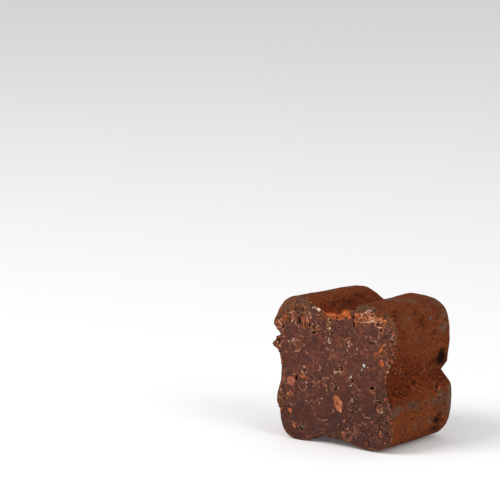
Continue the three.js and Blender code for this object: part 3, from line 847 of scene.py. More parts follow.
# Fresh powder, bright orange, besides the lip of the top hollow, and one painted glint: as for the pits, with
# an amount.
FRESH_POWDER_AND_GLINT = rows(
    "pixel half amount turn full end",
    ((439.4, 387.4), (0.9, 2.6), 0.55, -10), ((345.2, 313.8), (5, 3.4), 0.9, -24, 0.3, 1.5),
    ((330, 314.4), (9.6, 1.7), 0.9, 7, 0.4, 1.3), ((338, 315.6), (6, 1.6), 0.8, 0, 0.3, 1.4),
    # The first spot here paints a glint on the powder.
    ((440.2, 394.8), (0.8, 1), 0.45), ((441.6, 400), (0.6, 2.2), 0.25), ((437.4, 398.6), (0.5, 1.8), 0.25),
    ((428, 305), (0.8, 0.6), 0.4), ((440.2, 320.6), (0.7, 0.7), 0.45), ((398, 333), (0.8, 0.7), 0.4),
    ((420, 330.4), (0.7, 0.6), 0.35),
)

# Noise of the coat, in layers: the uneven edges of its marks, where it is rubbed, and its grain.
COAT_EDGE = ((0.25, 1.1, 91), (0.2, 0.45, 92))
RUB = ((1, 3.4, 93), (0.6, 1.2, 94), (0.35, 0.5, 95))
GRAIN = ((0.030, 0.9, 96), (0.018, 0.42, 97))

# The powder's streaks run this way, and these are the two directions across them.
STREAK = unit_vectors(np.array([0.25, 0.72, -0.65]))
ACROSS_STREAK = unit_vectors(np.cross(STREAK, [1, 0, 0]))
STREAK_AXES = (STREAK, ACROSS_STREAK, np.cross(STREAK, ACROSS_STREAK))


def coat_scratches():
    """Short dark scratches, in clusters, as pits of the coat."""
    random = np.random.default_rng(13)
    return tuple(
        {
            "pixel": cluster["pixel"] + in_oval(random, cluster["half"]),
            "half": [random.uniform(*sizes) for sizes in SCRATCH_SIZES],
            "turn": random.normal(*SCRATCH_TURN),
            "depth": SCRATCH_DEPTH,
            "dark": random.uniform(*PIT_DARKNESS),
        }
        for cluster in SCRATCHED for _ in range(cluster["count"]))


def seeded_pits(points):
    """Small pits all over the coat: how dark the painted shade in them is at each point."""
    random = np.random.default_rng(12)
    dark = np.zeros(len(points))
    for middle in points[random.integers(0, len(points), SEEDED_PITS)]:
        size = random.uniform(*SEEDED_PIT_SIZES)
        stretch = (points - middle) @ STREAK
        away = np.sqrt(np.maximum(((points - middle) ** 2).sum(axis=1) - 0.6 * stretch**2, 0)) / size
        dark = np.maximum(dark, random.uniform(*PIT_DARKNESS) * fade(0.4, 1.1, away))
    return dark


def strongest(names, marks, facing, pixels, ragged, *ends):
    """For each name, the most that any mark gives, where the surface faces the camera."""
    most = np.zeros((len(names), len(facing)))
    for mark in marks:
        share = facing * spot_share(pixels, mark, ragged, *ends)
        most = np.maximum(most, [mark[name] * share for name in names])
    return most


def fresh_lip(x, y, z, ragged):
    across = lip_place(x)
    length = mix(*LIP_LENGTHS, clamp01(0.5 + 0.5 * across) ** 1.3) * (1 + 0.8 * ragged)
    return (z > 0) * fade(0.8, 1.0, np.abs(across)) * fade(0.6, 1.0, (y - CUT_Y) / length)


def coat_marks(points, normals, pressed):
    """Moves the coat's points for its relief, and gives the shares that its colours follow."""
    x, y, z = points.T
    facing = (normals * (LOCAL_CAMERA - points)).sum(axis=1) > 0
    seen = clamp01(smoothstep(5, 8, x) + smoothstep(6, 8, z))
    pixels = to_pixels(points)
    along = [points @ axis / stretch for axis, stretch in zip(STREAK_AXES, (4, 1, 1))]
    ragged = layered_noise(x, y, z, *COAT_EDGE) + 0.3 * noise(*along, 0.5, 90)
    # How far a point lies in a hollow: it keeps the powder there from wear, and it sets the painted shade
    # there.
    hollow = smoothstep(0.15, 1.3, pressed)
    worn_and_sheen = smoothstep(0.1, 0.9, layered_noise(x, y, z, *RUB)) * (1 - hollow) * mix(0.6, 0.3, seen)
    # The listed patches, on the lobe tops and the far right edge, are partly painted sheen.
    worn_and_sheen = np.maximum(worn_and_sheen, strongest(["amount"], RUBBED_AND_SHEEN, facing, pixels, 1.3 * ragged, 0.35, 1.3)[0])
    # Fresh powder, and one painted glint.
    fresh = strongest(["amount"], FRESH_POWDER_AND_GLINT, facing, pixels, 0.5 * ragged)[0]
    seeded = seeded_pits(points)
    pits = strongest(["dark", "depth"], COAT_PITS + coat_scratches(), facing, pixels, 0.6 * ragged)
    dark, sunk = np.maximum(pits, [seeded, PIT_DEPTH * seeded])
    grain = layered_noise(x, y, z, *GRAIN)
    points = points + normals * (grain * (1 - 0.6 * worn_and_sheen) - sunk)[:, None]
    return points, {
        "worn_and_sheen": worn_and_sheen,
        # Darker in the hollows: partly the powder's own colour, partly painted shade.
        "hollow_powder_and_shade": hollow * mix(0.65, 1, seen),
        "lip": np.maximum(fresh_lip(x, y, z, ragged), fresh),
        # Painted shade in the pits and the crease under the upper right lobe, and the dark scratches.
        "gap": dark,
    }


# ---- Nibs, crumbs, strands, lumps and glints ---------------------------------------------------

PINK, ROSE = (158, 86, 66), (168, 104, 84)
ORANGE, RUST, BRIGHT = (176, 94, 46), (142, 66, 32), (210, 112, 62)
# The bluish white paints light reflected in the glints.
PALE, CREAM, PAINTED_REFLECTION_WHITE = (206, 172, 148), (236, 214, 176), (206, 200, 204)

# Nibs that keep a face of their own: pixel, size across and up, turn in degrees, how much narrower
# one end is, the lower where this is above 0, how far the face stands out, colour, and how uneven
# the outline is if not 1.
NIBS = rows(
    "pixel size turn point proud colour uneven",
    ((291.3, 380.9), (1.5, 1.55), 12, 0.35, 0.1, PINK, 0.25),
    ((352.2, 312.6), (0.62, 0.8), 10, 0.2, 0.1, (110, 56, 36)),
    ((336.6, 400.4), (1.25, 1.35), 10, 0, 0.12, (172, 94, 54)),
    ((339.2, 407.6), (1.05, 1.5), 14, 0.25, 0.08, (172, 96, 58)),
    ((341, 403.6), (0.5, 0.9), 20, 0.2, 0.16, (212, 138, 96)),
    ((337, 397.2), (0.8, 0.34), 6, 0.2, 0.17, (196, 124, 84)),
    ((340.6, 410.6), (0.34, 0.6), 20, 0.2, 0.14, (216, 146, 104)),
    ((337.6, 403.4), (0.4, 0.6), 34, 0.2, 0.15, (134, 68, 38)),
    ((335.6, 405.6), (0.5, 0.7), -10, 0.2, 0.05, (126, 60, 32)),
    ((381.7, 363.6), (0.76, 1.18), 6, 0.15, 0.1, (170, 80, 42), 0.6),
    ((375.8, 354.2), (0.75, 0.6), 0, 0.2, 0.04, RUST),
    ((290.2, 410.2), (0.85, 0.6), -6, 0.3, 0.08, (184, 88, 54)),
    ((302.7, 376.4), (0.98, 0.58), 4, 0.2, 0.12, (172, 92, 62)),
    ((294.4, 425), (0.5, 0.85), 32, 0.2, 0.08, ORANGE),
    ((341.5, 372.8), (0.4, 0.45), 20, 0.1, 0.06, (160, 100, 76)),
    ((318.3, 383.4), (0.85, 0.42), 0, 0.2, 0.06, (160, 86, 62)),
    ((344.1, 421), (0.42, 0.6), -20, 0.3, 0.08, (172, 100, 72)),
    ((343.4, 434), (0.55, 1.05), 22, 0.2, 0.1, (156, 88, 62)),
    ((372, 422), (0.34, 0.3), 0, 0.1, 0.05, (176, 72, 40)),
    ((356.4, 315.3), (0.62, 0.62), 0, 0.1, 0.2, BRIGHT),
    ((349.6, 317.6), (0.62, 0.48), -10, 0.1, 0.16, BRIGHT),
    ((366.4, 319.4), (1.3, 0.26), 0, 0, 0.14, (190, 96, 60)),
    ((367.4, 313.2), (0.8, 0.24), -18, 0, 0.16, ROSE),
    ((381.4, 322), (0.5, 0.36), -18, 0.1, 0.14, (200, 108, 64)),
    ((377.2, 313.8), (0.36, 0.5), 10, 0.2, 0.14, (176, 90, 46)),
    ((380.5, 434.6), (0.46, 0.95), 10, 0.2, 0.1, (178, 92, 54)),
    ((381.2, 350.4), (0.42, 1), -28, 0.2, 0.14, (202, 100, 50)),
    ((284.2, 318.4), (0.46, 0.5), 0, 0.2, 0.16, (166, 84, 56)),
    ((285.2, 322), (0.4, 0.44), 20, 0.2, 0.14, (178, 92, 58)),
    ((286, 314.6), (0.34, 0.9), 8, -0.5, 0.18, (176, 84, 46)),
    ((292.6, 311.6), (0.85, 0.34), 0, 0.1, 0.16, ROSE),
    ((293, 315.8), (0.34, 0.6), -12, 0.1, 0.16, (190, 100, 58)),
    ((308.4, 317), (0.42, 0.5), 0, 0.1, 0.16, (158, 88, 56)),
    ((303.9, 326.8), (0.7, 0.3), 8, 0.1, 0.12, (186, 96, 52)),
    ((303.6, 320.6), (0.8, 0.4), -8, 0.1, 0.12, (160, 88, 62)),
    ((372.6, 393.4), (0.62, 0.8), 14, 0.6, 0.06, (140, 70, 40)),
    ((374.4, 368.5), (0.36, 0.42), 10, 0.3, 0.06, (150, 80, 52)),
    ((385.3, 400), (0.3, 0.5), 10, 0.2, 0.08, (182, 88, 50)),
    ((389.6, 366.4), (0.26, 0.8), -16, 0.2, 0.08, (120, 84, 44)),
    ((297.7, 305), (0.46, 0.34), 10, 0.1, 0.14, (150, 96, 70)),
    ((318.2, 315.4), (0.55, 0.34), 20, 0.1, 0.12, (152, 92, 72)),
    ((322.4, 318), (0.6, 0.3), -14, 0.1, 0.1, (138, 78, 58)),
    ((294.2, 374), (0.45, 0.34), 0, 0.1, 0.08, ORANGE),
    ((284, 379.4), (0.24, 1.1), 0, 0.1, 0.06, (150, 82, 48)),
)
SEEDED_NIBS = 44
SEEDED_NIB_COLOURS = (
    (140, 78, 52), (132, 84, 68), (126, 72, 56), (116, 64, 46), (112, 60, 46), (70, 44, 40),
)
SEEDED_NIB_SIZES = (0.18, 0.42)
NIB_SIDES = 40
# Bumps of a nib's outline: height, how many go round it, and which of its three random turns they have.
NIB_BUMPS = ((0.12, 2, 0), (0.12, 3, 1), (0.08, 5, 2), (0.05, 9, 0))
# Rings from a nib's face to its back: shares of its half size, and of how far its face stands out.
NIB_RINGS = ((0.40, 1.0), (0.80, 0.97), (0.97, 0.70), (1.03, 0.15), (0.90, -4.0))

# Painted glints, pale shards for the light reflected by fat and sugar crystals, and pale crumbs: pixel, size
# across and up, turn, and colour.
PAINTED_GLINTS_AND_PALE_CRUMBS = rows(
    "pixel size turn colour",
    ((314.4, 306.8), (0.42, 0.24), -10, (240, 206, 170)),
    ((316.6, 307.6), (0.44, 0.22), -30, (244, 208, 170)),
    ((318.4, 309), (0.36, 0.26), -40, (246, 212, 174)), ((319.2, 309.9), (0.34, 0.34), 0, (252, 224, 190)),
    ((328.3, 319.8), (0.24, 0.36), 0, PALE), ((329.8, 328.6), (0.32, 0.34), 30, CREAM),
    ((292.5, 320.8), (0.24, 0.38), 0, CREAM), ((292.6, 314.6), (0.2, 0.5), 12, (226, 140, 90)),
    ((294.2, 340), (0.28, 0.66), 8, PAINTED_REFLECTION_WHITE), ((288.8, 341.2), (0.18, 0.48), 30, CREAM),
    ((328.9, 339.6), (0.34, 0.6), -12, PAINTED_REFLECTION_WHITE), ((348.9, 345), (0.2, 0.66), 0, PAINTED_REFLECTION_WHITE),
    ((344.9, 345), (0.14, 0.46), 0, PALE), ((363.9, 365.6), (0.62, 0.46), 0, PAINTED_REFLECTION_WHITE),
    ((362.3, 370), (0.16, 0.62), -20, PAINTED_REFLECTION_WHITE), ((368, 367.8), (0.2, 0.52), -6, PALE),
    ((351.2, 377.4), (0.26, 0.52), 24, PAINTED_REFLECTION_WHITE), ((350.8, 385.4), (0.24, 0.44), 10, PAINTED_REFLECTION_WHITE),
    ((348.4, 380.2), (0.12, 0.5), 0, PALE), ((352.4, 400.2), (0.26, 0.66), 14, PAINTED_REFLECTION_WHITE),
    ((387.7, 371.8), (0.2, 0.26), 0, (216, 180, 136)), ((302.5, 370.8), (0.22, 0.46), -20, PALE),
    ((306.3, 372.6), (0.16, 0.36), 10, PALE), ((304.6, 366.5), (0.2, 0.26), 10, PALE),
    ((340.2, 370.3), (0.18, 0.42), 20, PALE), ((334.9, 371.9), (0.3, 0.28), 0, PALE),
    ((306.5, 382.5), (0.2, 0.2), 0, PALE), ((314.2, 384.9), (0.3, 0.18), 20, PALE),
    ((313.6, 381), (0.3, 0.24), 0, ROSE), ((326.2, 379.5), (0.38, 0.22), 0, ROSE),
    ((326.7, 390.6), (0.14, 0.34), 10, CREAM), ((301, 426.7), (0.26, 0.26), 0, PAINTED_REFLECTION_WHITE),
    ((364.6, 322.3), (0.24, 0.24), 0, PALE), ((321.9, 398.5), (0.16, 0.16), 0, PALE),
    ((348, 429), (0.16, 0.24), 0, PALE), ((379.3, 410.6), (0.18, 0.56), 24, CREAM),
    ((379.6, 404.6), (0.24, 0.2), 0, PALE), ((384.2, 328), (0.24, 0.26), 0, ROSE),
    ((392.6, 336.6), (0.22, 0.24), 0, PALE), ((396.2, 358.6), (0.18, 0.26), 20, (186, 140, 96)),
    ((289.4, 325), (0.14, 0.24), 0, ROSE), ((373.8, 401.2), (0.14, 0.18), 0, PALE),
    ((312.7, 394), (0.5, 0.14), -45, ROSE),
)
SEEDED_GLINTS = 80
GLINT_SHARDS = 6
GLINT_DEPTH = 0.1                              # at most, behind the paste beside a gap

CRUMB_COLOURS = ((56, 32, 22), (92, 52, 36), (124, 68, 42), (156, 84, 48), (188, 102, 62), (200, 128, 98))
CRUMB_CHANCES = (0.16, 0.22, 0.22, 0.20, 0.13, 0.07)
LOW_DARKNESS = 0.35                            # how much darker crumbs and strands are low on the cut
CRUMBS_PER_AREA = 12.0                         # in a torn stretch, for each square millimetre
CRUMB_SIZES = (0.05, 0.15)                     # half sizes
KNOT_CRUMB_SHADE = 0.75
KNOT_CRUMB_SIZES = (0.06, 0.17)
CRUMBS_PER_SHRED = 0.8                         # in a knot of curled shreds
PIXEL_AREA = 0.029                             # square millimetres of the cut
STONE_PLANES = 9                               # flat planes that cut a crumb or a shard

# Crumbs and shards, and strands, that are more than this many of their sizes off the ground are settled.
LOOSE_LIMIT = 0.8
STRAND_LIMIT = 2.0

# Thin curled strands of torn paste: round nibs and gaps, and all over the torn stretches.
STRAND_COLOURS = {
    "web": ((60, 34, 30), (104, 58, 44), (122, 70, 52), (140, 84, 62), (160, 106, 84)),
    "paste": ((74, 42, 32), (104, 62, 48), (126, 78, 60), (146, 92, 72), (168, 114, 94)),
    "rose": ((58, 32, 22), (120, 70, 50), (160, 100, 76), (188, 126, 102), (216, 166, 144)),
    "gold": ((34, 20, 12), (100, 58, 32), (150, 92, 52), (186, 122, 76), (218, 166, 128)),
    "orange": ((74, 36, 20), (146, 76, 40), (186, 98, 54), (212, 124, 76), (232, 166, 124)),
    "pale": ((96, 54, 38), (170, 98, 66), (206, 132, 96), (232, 176, 146), (244, 216, 196)),
}
STRAND_CHANCES = (0.22, 0.24, 0.25, 0.19, 0.10)
STRAND_STEPS = 9
STRAND_SIDES = 5
STRANDS_PER_AREA = 6.0
STRANDS_PER_NIB = 5                            # besides those that grow in number with its edge
STRANDS_PER_GAP = 5
WEB_STRANDS = 700

# Crumbs along the rim: middle and spread of the stretch in degrees, and how many.
RIM_CRUMBS = rows(
    "angle spread count",
    (172, 9, 60), (206, 12, 40), (148, 12, 40), (100, 30, 60), (40, 26, 150), (15, 16, 110), (325, 22, 26),
    (285, 24, 16), (180, 180, 90),
)

# Lumps on the rim of the cut, as in the CAD model: an angle round the section and a half size.
RIM_LUMPS = rows(
    "angle size",
    (24, 0.7), (17, 0.45), (101, 0.5), (52, 0.55), (330, 0.5),
)
LUMP_PLACE = 0.96
LUMP_THICKNESS = 0.7
LUMP_LAYERS = ((0.26, 1.2, 98), (0.16, 0.5, 99), (0.06, 0.24, 89))


def on_cut(places, depth):
    """Points at these places of the cut and at this depth behind its plane."""
    return np.stack([places[:, 0], CUT_Y + depth, places[:, 1]], axis=-1)


def seeded_nibs():
    random = np.random.default_rng(17)
    nibs = []
    for _ in range(SEEDED_NIBS):
        size = random.uniform(*SEEDED_NIB_SIZES)
        nibs.append({
            "place": tuple(random.uniform(-1, 1, 2) * FIELD),
            "size": (size, size * random.uniform(0.6, 1.6)),
            "turn": random.uniform(0, 180),
            "point": random.uniform(0, 0.4),
            "proud": random.uniform(0.02, 0.07),
            "colour": SEEDED_NIB_COLOURS[random.integers(len(SEEDED_NIB_COLOURS))],
        })
    return nibs


def nib_points(random, nib, front):
    """The middle of a nib's face, rings round it from there to its back, and the middle of its back."""
    (x, z), proud, point = nib["place"], nib["proud"], nib["point"]
    bearing = np.linspace(0, 2 * np.pi, NIB_SIDES, endpoint=False)
    bend = random.uniform(0, 2 * np.pi, 3)
    bumps = sum(height * np.sin(times * bearing + bend[which]) for height, times, which in NIB_BUMPS)
    bumps += random.uniform(-0.06, 0.06, NIB_SIDES)
    half = np.divide(nib["size"], 2)[:, None] * (1 + nib.get("uneven", 1.0) * bumps)
    taper = 1 - abs(point) * clamp01(-math.copysign(1, point) * np.sin(bearing))
    across, up = laid(half[0] * np.cos(bearing) * taper, half[1] * np.sin(bearing), nib["turn"])
    rings = [[[x, front, z]]]
    for share, out in NIB_RINGS:
        uneven = 0.35 * proud * random.uniform(-1, 1, NIB_SIDES) * (out > 0.5)
        y = front + proud * (1 - out) + uneven
        rings.append(np.stack([x + share * across, y, z + share * up], axis=-1))
    rings.append([[x, front + 5 * proud + 0.1, z]])
    return np.concatenate(rings)


def nib_mesh():
    random = np.random.default_rng(19)
    nibs = placed(NIBS) + seeded_nibs()
    marks = cut_marks_at(*np.array([nib["place"] for nib in nibs]).T)
    fronts = CUT_Y + np.minimum(marks.depth, marks.ground + 0.2) - [nib["proud"] for nib in nibs]
    points = np.stack([nib_points(random, nib, front) for nib, front in zip(nibs, fronts)])
    rings = [1 + NIB_SIDES * step + np.arange(NIB_SIDES) for step in range(len(NIB_RINGS))]
    ends = [fan_polygons(rings[0], 0)[:, ::-1], fan_polygons(rings[-1], points.shape[1] - 1)]
    sides = [ring_polygons(*pair) for pair in zip(rings[:-1], rings[1:])]
    polygons = [repeated(np.concatenate(part), points.shape[1], len(nibs)) for part in (ends, sides)]
    colours = np.repeat(srgb([nib["colour"] for nib in nibs]), points.shape[1], axis=0)
    return make_mesh("nibs", points.reshape(-1, 3), polygons, colours=colours)


def ball(detail):
    """The corners and triangles of a ball of triangles of size 1."""
    mesh = bmesh.new()
    bmesh.ops.create_icosphere(mesh, subdivisions=detail, radius=1.0)
    corners = np.array([vertex.co[:] for vertex in mesh.verts])
    triangles = np.array([[vertex.index for vertex in face.verts] for face in mesh.faces])
    mesh.free()
    return corners, triangles


def random_turns(random, count):
    """Rotation matrices, one for each stone."""
    w, x, y, z = unit_vectors(random.normal(size=(count, 4))).T
    return np.stack([
        np.stack([1 - 2 * (y * y + z * z), 2 * (x * y - w * z), 2 * (x * z + w * y)], axis=-1),
        np.stack([2 * (x * y + w * z), 1 - 2 * (x * x + z * z), 2 * (y * z - w * x)], axis=-1),
        np.stack([2 * (x * z - w * y), 2 * (y * z + w * x), 1 - 2 * (x * x + y * y)], axis=-1)], axis=1)


def stones(name, middles, sizes, colours, seed, stretch):
    """Broken lumps, each a ball cut by flat planes, stretched and turned at random. sizes are half sizes."""
    random = np.random.default_rng(seed)
    corners, triangles = ball(2)
    count = len(middles)
    facing = unit_vectors(random.normal(size=(count, STONE_PLANES, 3)))
    reach = random.uniform(0.55, 0.95, size=(count, STONE_PLANES))
    outside = np.einsum("nkc,vc->nkv", facing, corners) / reach[:, :, None]
    shape = corners[None] / np.maximum(1, outside.max(axis=1))[:, :, None]
    shape = shape * random.uniform(*stretch, size=(count, 1, 3))
    shape = np.einsum("nij,nvj->nvi", random_turns(random, count), shape)
    points = shape * sizes[:, None, None] + middles[:, None]
    polygons = [repeated(triangles, len(corners), count)]
    colours = np.repeat(colours, len(corners), axis=0)
    return make_mesh(name, points.reshape(-1, 3), polygons, colours=colours, smooth=False)


def torn_places(random, per_area):
    """Places in the torn stretches of the cut, thickest where they are most torn."""
    places = []
    for part in TORN:
        count = int(np.pi * part["half"][0] * part["half"][1] * PIXEL_AREA * per_area * part["amount"])
        places.append(cut_place(part["pixel"] + in_oval(random, part["half"], count=count)))
    return np.concatenate(places)


def rim_places(random):
    places = []
    for part in RIM_CRUMBS:
        angle = np.radians(part["angle"] + part["spread"] * random.uniform(-1, 1, part["count"]))
        edge = np.stack(outline_point(angle, CUT_Y, 0), axis=-1)
        places.append(edge * random.uniform(0.95, 0.997, part["count"])[:, None])
    return np.concatenate(places)


def knot_crumbs(random):
    """Crumbs among the curled shreds: places, half sizes and colours."""
    pixels, sizes, colours = [], [], []
    for curl in CURLS:
        for _ in range(int(CRUMBS_PER_SHRED * curl["count"])):
            pixels.append(curl["pixel"] + in_oval(random, curl["half"], 0.9))
            sizes.append(random.uniform(*KNOT_CRUMB_SIZES))
            shade = random.choice(len(STRAND_CHANCES), p=STRAND_CHANCES)
            colours.append(STRAND_COLOURS[curl["colours"]][shade])
    return cut_place(pixels), np.array(sizes), srgb(colours) * KNOT_CRUMB_SHADE


def cut_crumbs(ground):
    """Crumbs in the torn stretches of the cut, along its rim and in the knots of shreds."""
    random = np.random.default_rng(23)
    places = np.concatenate([torn_places(random, CRUMBS_PER_AREA), rim_places(random)])
    marks = cut_marks_at(*places.T)
    kept = (marks.outward < 0.998) & (marks.powder < random.uniform(0.2, 1.4, len(places)))
    sizes = mix(*CRUMB_SIZES, random.uniform(0, 1, kept.sum()) ** 2)
    colours = srgb(CRUMB_COLOURS)[random.choice(len(CRUMB_COLOURS), kept.sum(), p=CRUMB_CHANCES)]
    places, sizes, colours = (
        np.concatenate(pair) for pair in zip((places[kept], sizes, colours), knot_crumbs(random)))
    marks = cut_marks_at(*places.T)
    middles = settled(on_cut(places, marks.depth - 0.3 * sizes), sizes, ground, LOOSE_LIMIT)
    colours = colours * (1 - LOW_DARKNESS * marks.low)[:, None]
    return stones("cut_crumbs", middles, sizes, colours, 29, (0.45, 1.9))


# The strands come as lists of: middle across and up, half sizes across and up, bearing, turn, half
# thickness and colours.

def arc_strand(random, ring, uneven, spread, turns, thicknesses, colours):
    """A strand somewhere along the torn edge of a nib."""
    reach = 1 + random.normal() * uneven
    bearing = ring["arc"][0] + ring["arc"][1] * random.uniform(-spread, spread)
    return (
        *ring["place"], *np.multiply(ring["half"], reach), bearing,
        random.uniform(*turns), random.uniform(*thicknesses), colours)


def ring_strands(random):
    strands = []
    for ring in ALL_RINGS:
        seen = "pixel" in ring
        size = math.sqrt(ring["half"][0] * ring["half"][1])
        per_size, thickest, colours = (15, 0.062, "rose") if seen else (5, 0.045, "paste")
        for _ in range(int(per_size * ring["edge"] * size * ring["arc"][1] / 100) + 1):
            turns = (12 / size, 45 / size)
            strands.append(arc_strand(random, ring, 0.08, 0.9, turns, (0.030, thickest), colours))
        for _ in range(STRANDS_PER_NIB * seen):
            strands.append(arc_strand(random, ring, 0.07, 0.8, (24, 56), (0.030, 0.056), "rose"))
    return strands


def gap_strands(random):
    strands = []
    for gap in placed(GAPS):
        for _ in range(STRANDS_PER_GAP):
            half = np.multiply(gap["half"], random.uniform(1.1, 1.5))
            strands.append((
                *gap["place"], *half, random.uniform(0, 360), random.uniform(40, 130),
                random.uniform(0.03, 0.06), "rose"))
    return strands


def torn_strands(random):
    strands = []
    for place in torn_places(random, STRANDS_PER_AREA):
        half = random.uniform(0.10, 0.42, 2)
        turn = random.uniform(60, 190)
        strands.append((*place, *half, random.uniform(0, 360), turn, random.uniform(0.028, 0.065), "paste"))
    return strands


def curl_strands(random):
    strands, pixels = [], []
    for curl in CURLS:
        coarse = curl.get("coarse", 1.0)
        for _ in range(curl["count"]):
            pixels.append(curl["pixel"] + in_oval(random, curl["half"], 0.95))
            strands.append((
                coarse * random.uniform(0.10, 0.48), coarse * random.uniform(0.08, 0.30),
                random.uniform(0, 360), random.uniform(50, 170),
                coarse * random.uniform(0.035, 0.095), curl["colours"]))
    return [(*place, *strand) for place, strand in zip(cut_place(pixels), strands)]


def web_strands(random):
    """Faint thin strands all over the cut."""
    strands = []
    for _ in range(WEB_STRANDS):
        place = random.uniform(-1, 1, 2) * FIELD
        strands.append((
            *place, *random.uniform(0.12, 0.75, 2), random.uniform(0, 360), random.uniform(40, 120),
            random.uniform(0.022, 0.045), "web"))
    return strands


def tubes(paths, half):
    """Points round each path, at these half thicknesses, and the polygons of sides and ends."""
    run = unit_vectors(np.gradient(paths, axis=1))
    beside = unit_vectors(np.cross(run, [0, 1, 0]))
    above = np.cross(beside, run)
    around = np.linspace(0, 2 * np.pi, STRAND_SIDES, endpoint=False)[:, None]
    outward = np.cos(around) * beside[:, :, None] + np.sin(around) * above[:, :, None]
    points = paths[:, :, None] + half[:, :, None, None] * outward
    index = np.arange(points[..., 0].size).reshape(points.shape[:-1])
    following = np.roll(index, -1, axis=2)
    sides = np.stack([index[:, :-1], following[:, :-1], following[:, 1:], index[:, 1:]], axis=-1)
    ends = np.concatenate([index[:, 0, ::-1], index[:, -1]])
    return points.reshape(-1, 3), [sides.reshape(-1, 4), ends]


def strand_mesh(ground):
    """Tapered strands that follow a stretch of an oval each, lying on the cut."""
    random = np.random.default_rng(53)
    kinds_of_strand = (ring_strands, gap_strands, torn_strands, curl_strands, web_strands)
    strands = [strand for kind in kinds_of_strand for strand in kind(random)]
    middle_x, middle_z, half_x, half_z, start, turn, thick = (
        np.array([strand[:-1] for strand in strands]).T[:, :, None])
    share = np.linspace(0, 1, STRAND_STEPS)[None]
    bearing = np.radians(start + turn * (share - 0.5))
    wave = 1 + 0.10 * np.sin(5 * share + 40 * start) + 0.06 * np.sin(11 * share + 70 * turn)
    x, z = middle_x + half_x * wave * np.cos(bearing), middle_z + half_z * wave * np.sin(bearing)
    marks = cut_marks_at(x, z)
    bare = marks.powder.mean(axis=1) < random.uniform(0.1, 1.2, len(x))
    kept = bare & (marks.outward.max(axis=1) < 0.975)
    x, z, depth, low, thick = (values[kept] for values in (x, z, marks.depth, marks.low, thick))
    y = CUT_Y + np.minimum(depth, depth.mean(axis=1)[:, None] + 0.05) - 0.4 * thick
    paths = np.stack([x, y, z], axis=-1)
    sizes = np.repeat(thick, STRAND_STEPS)
    paths = settled(paths.reshape(-1, 3), sizes, ground, STRAND_LIMIT).reshape(paths.shape)
    points, polygons = tubes(paths, thick * mix(0.12, 1, np.sin(np.pi * share) ** 0.5))
    shade = random.choice(len(STRAND_CHANCES), len(x), p=STRAND_CHANCES)
    kinds = [strand[-1] for strand, keep in zip(strands, kept) if keep]
    own = srgb([STRAND_COLOURS[kind][pick] for kind, pick in zip(kinds, shade)])
    colours = own[:, None] * random.uniform(0.65, 1.25, (len(x), STRAND_STEPS, 1))
    colours = colours * (1 - LOW_DARKNESS * low)[:, :, None]
    colours = np.repeat(colours.reshape(-1, 4), STRAND_SIDES, axis=0)
    return make_mesh("strands", points, polygons, colours=colours)


def rim_lumps():
    """Powdered lumps that hang on the rim of the cut."""
    corners, triangles = ball(4)
    points = []
    for number, lump in enumerate(RIM_LUMPS):
        size = lump["size"]
        x, z, _ = section_point(np.radians(lump["angle"]), CUT_Y)
        middle = np.array([LUMP_PLACE * x, CUT_Y + LUMP_THICKNESS * size, LUMP_PLACE * z])
        swell = layered_noise(*(corners * size + 10 * number).T, *LUMP_LAYERS)
        points.append(middle + corners * (0.9 + swell)[:, None] * [size, LUMP_THICKNESS * size, size])
    return make_mesh("rim_lumps", np.concatenate(points), [repeated(triangles, len(corners), len(RIM_LUMPS))])


def painted_glint_and_pale_crumb_mesh(ground):
    """Pale shards that paint the light reflected by fat and sugar crystals, and pale crumbs: each is a few
    shards close together, besides the seeded specks.
    """
    random = np.random.default_rng(37)
    places, sizes, colours = [], [], []
    for glint in placed(PAINTED_GLINTS_AND_PALE_CRUMBS):
        half = np.divide(glint["size"], 2)
        for _ in range(GLINT_SHARDS):
            places.append(glint["place"] + laid(*(random.uniform(-0.75, 0.75, 2) * half), glint["turn"]))
            sizes.append(half.min() * random.uniform(0.45, 1.0))
            colours.append(srgb(glint["colour"]) * random.uniform(0.5, 1.1))
    for _ in range(SEEDED_GLINTS):
        places.append(random.uniform(-1, 1, 2) * FIELD)
        sizes.append(random.uniform(0.035, 0.07))
        colours.append(srgb((PALE, ROSE)[random.integers(2)]) * random.uniform(0.35, 0.8))
    places, sizes = np.array(places), np.array(sizes)
    marks = cut_marks_at(*places.T)
    depth = np.minimum(marks.depth, marks.ground + GLINT_DEPTH) - 0.4 * sizes
    middles = settled(on_cut(places, depth), sizes, ground, LOOSE_LIMIT)
    return stones("painted_glints_and_pale_crumbs", middles, sizes, np.array(colours), 41, (0.5, 1.6))


# ---- Materials ---------------------------------------------------------------------------------

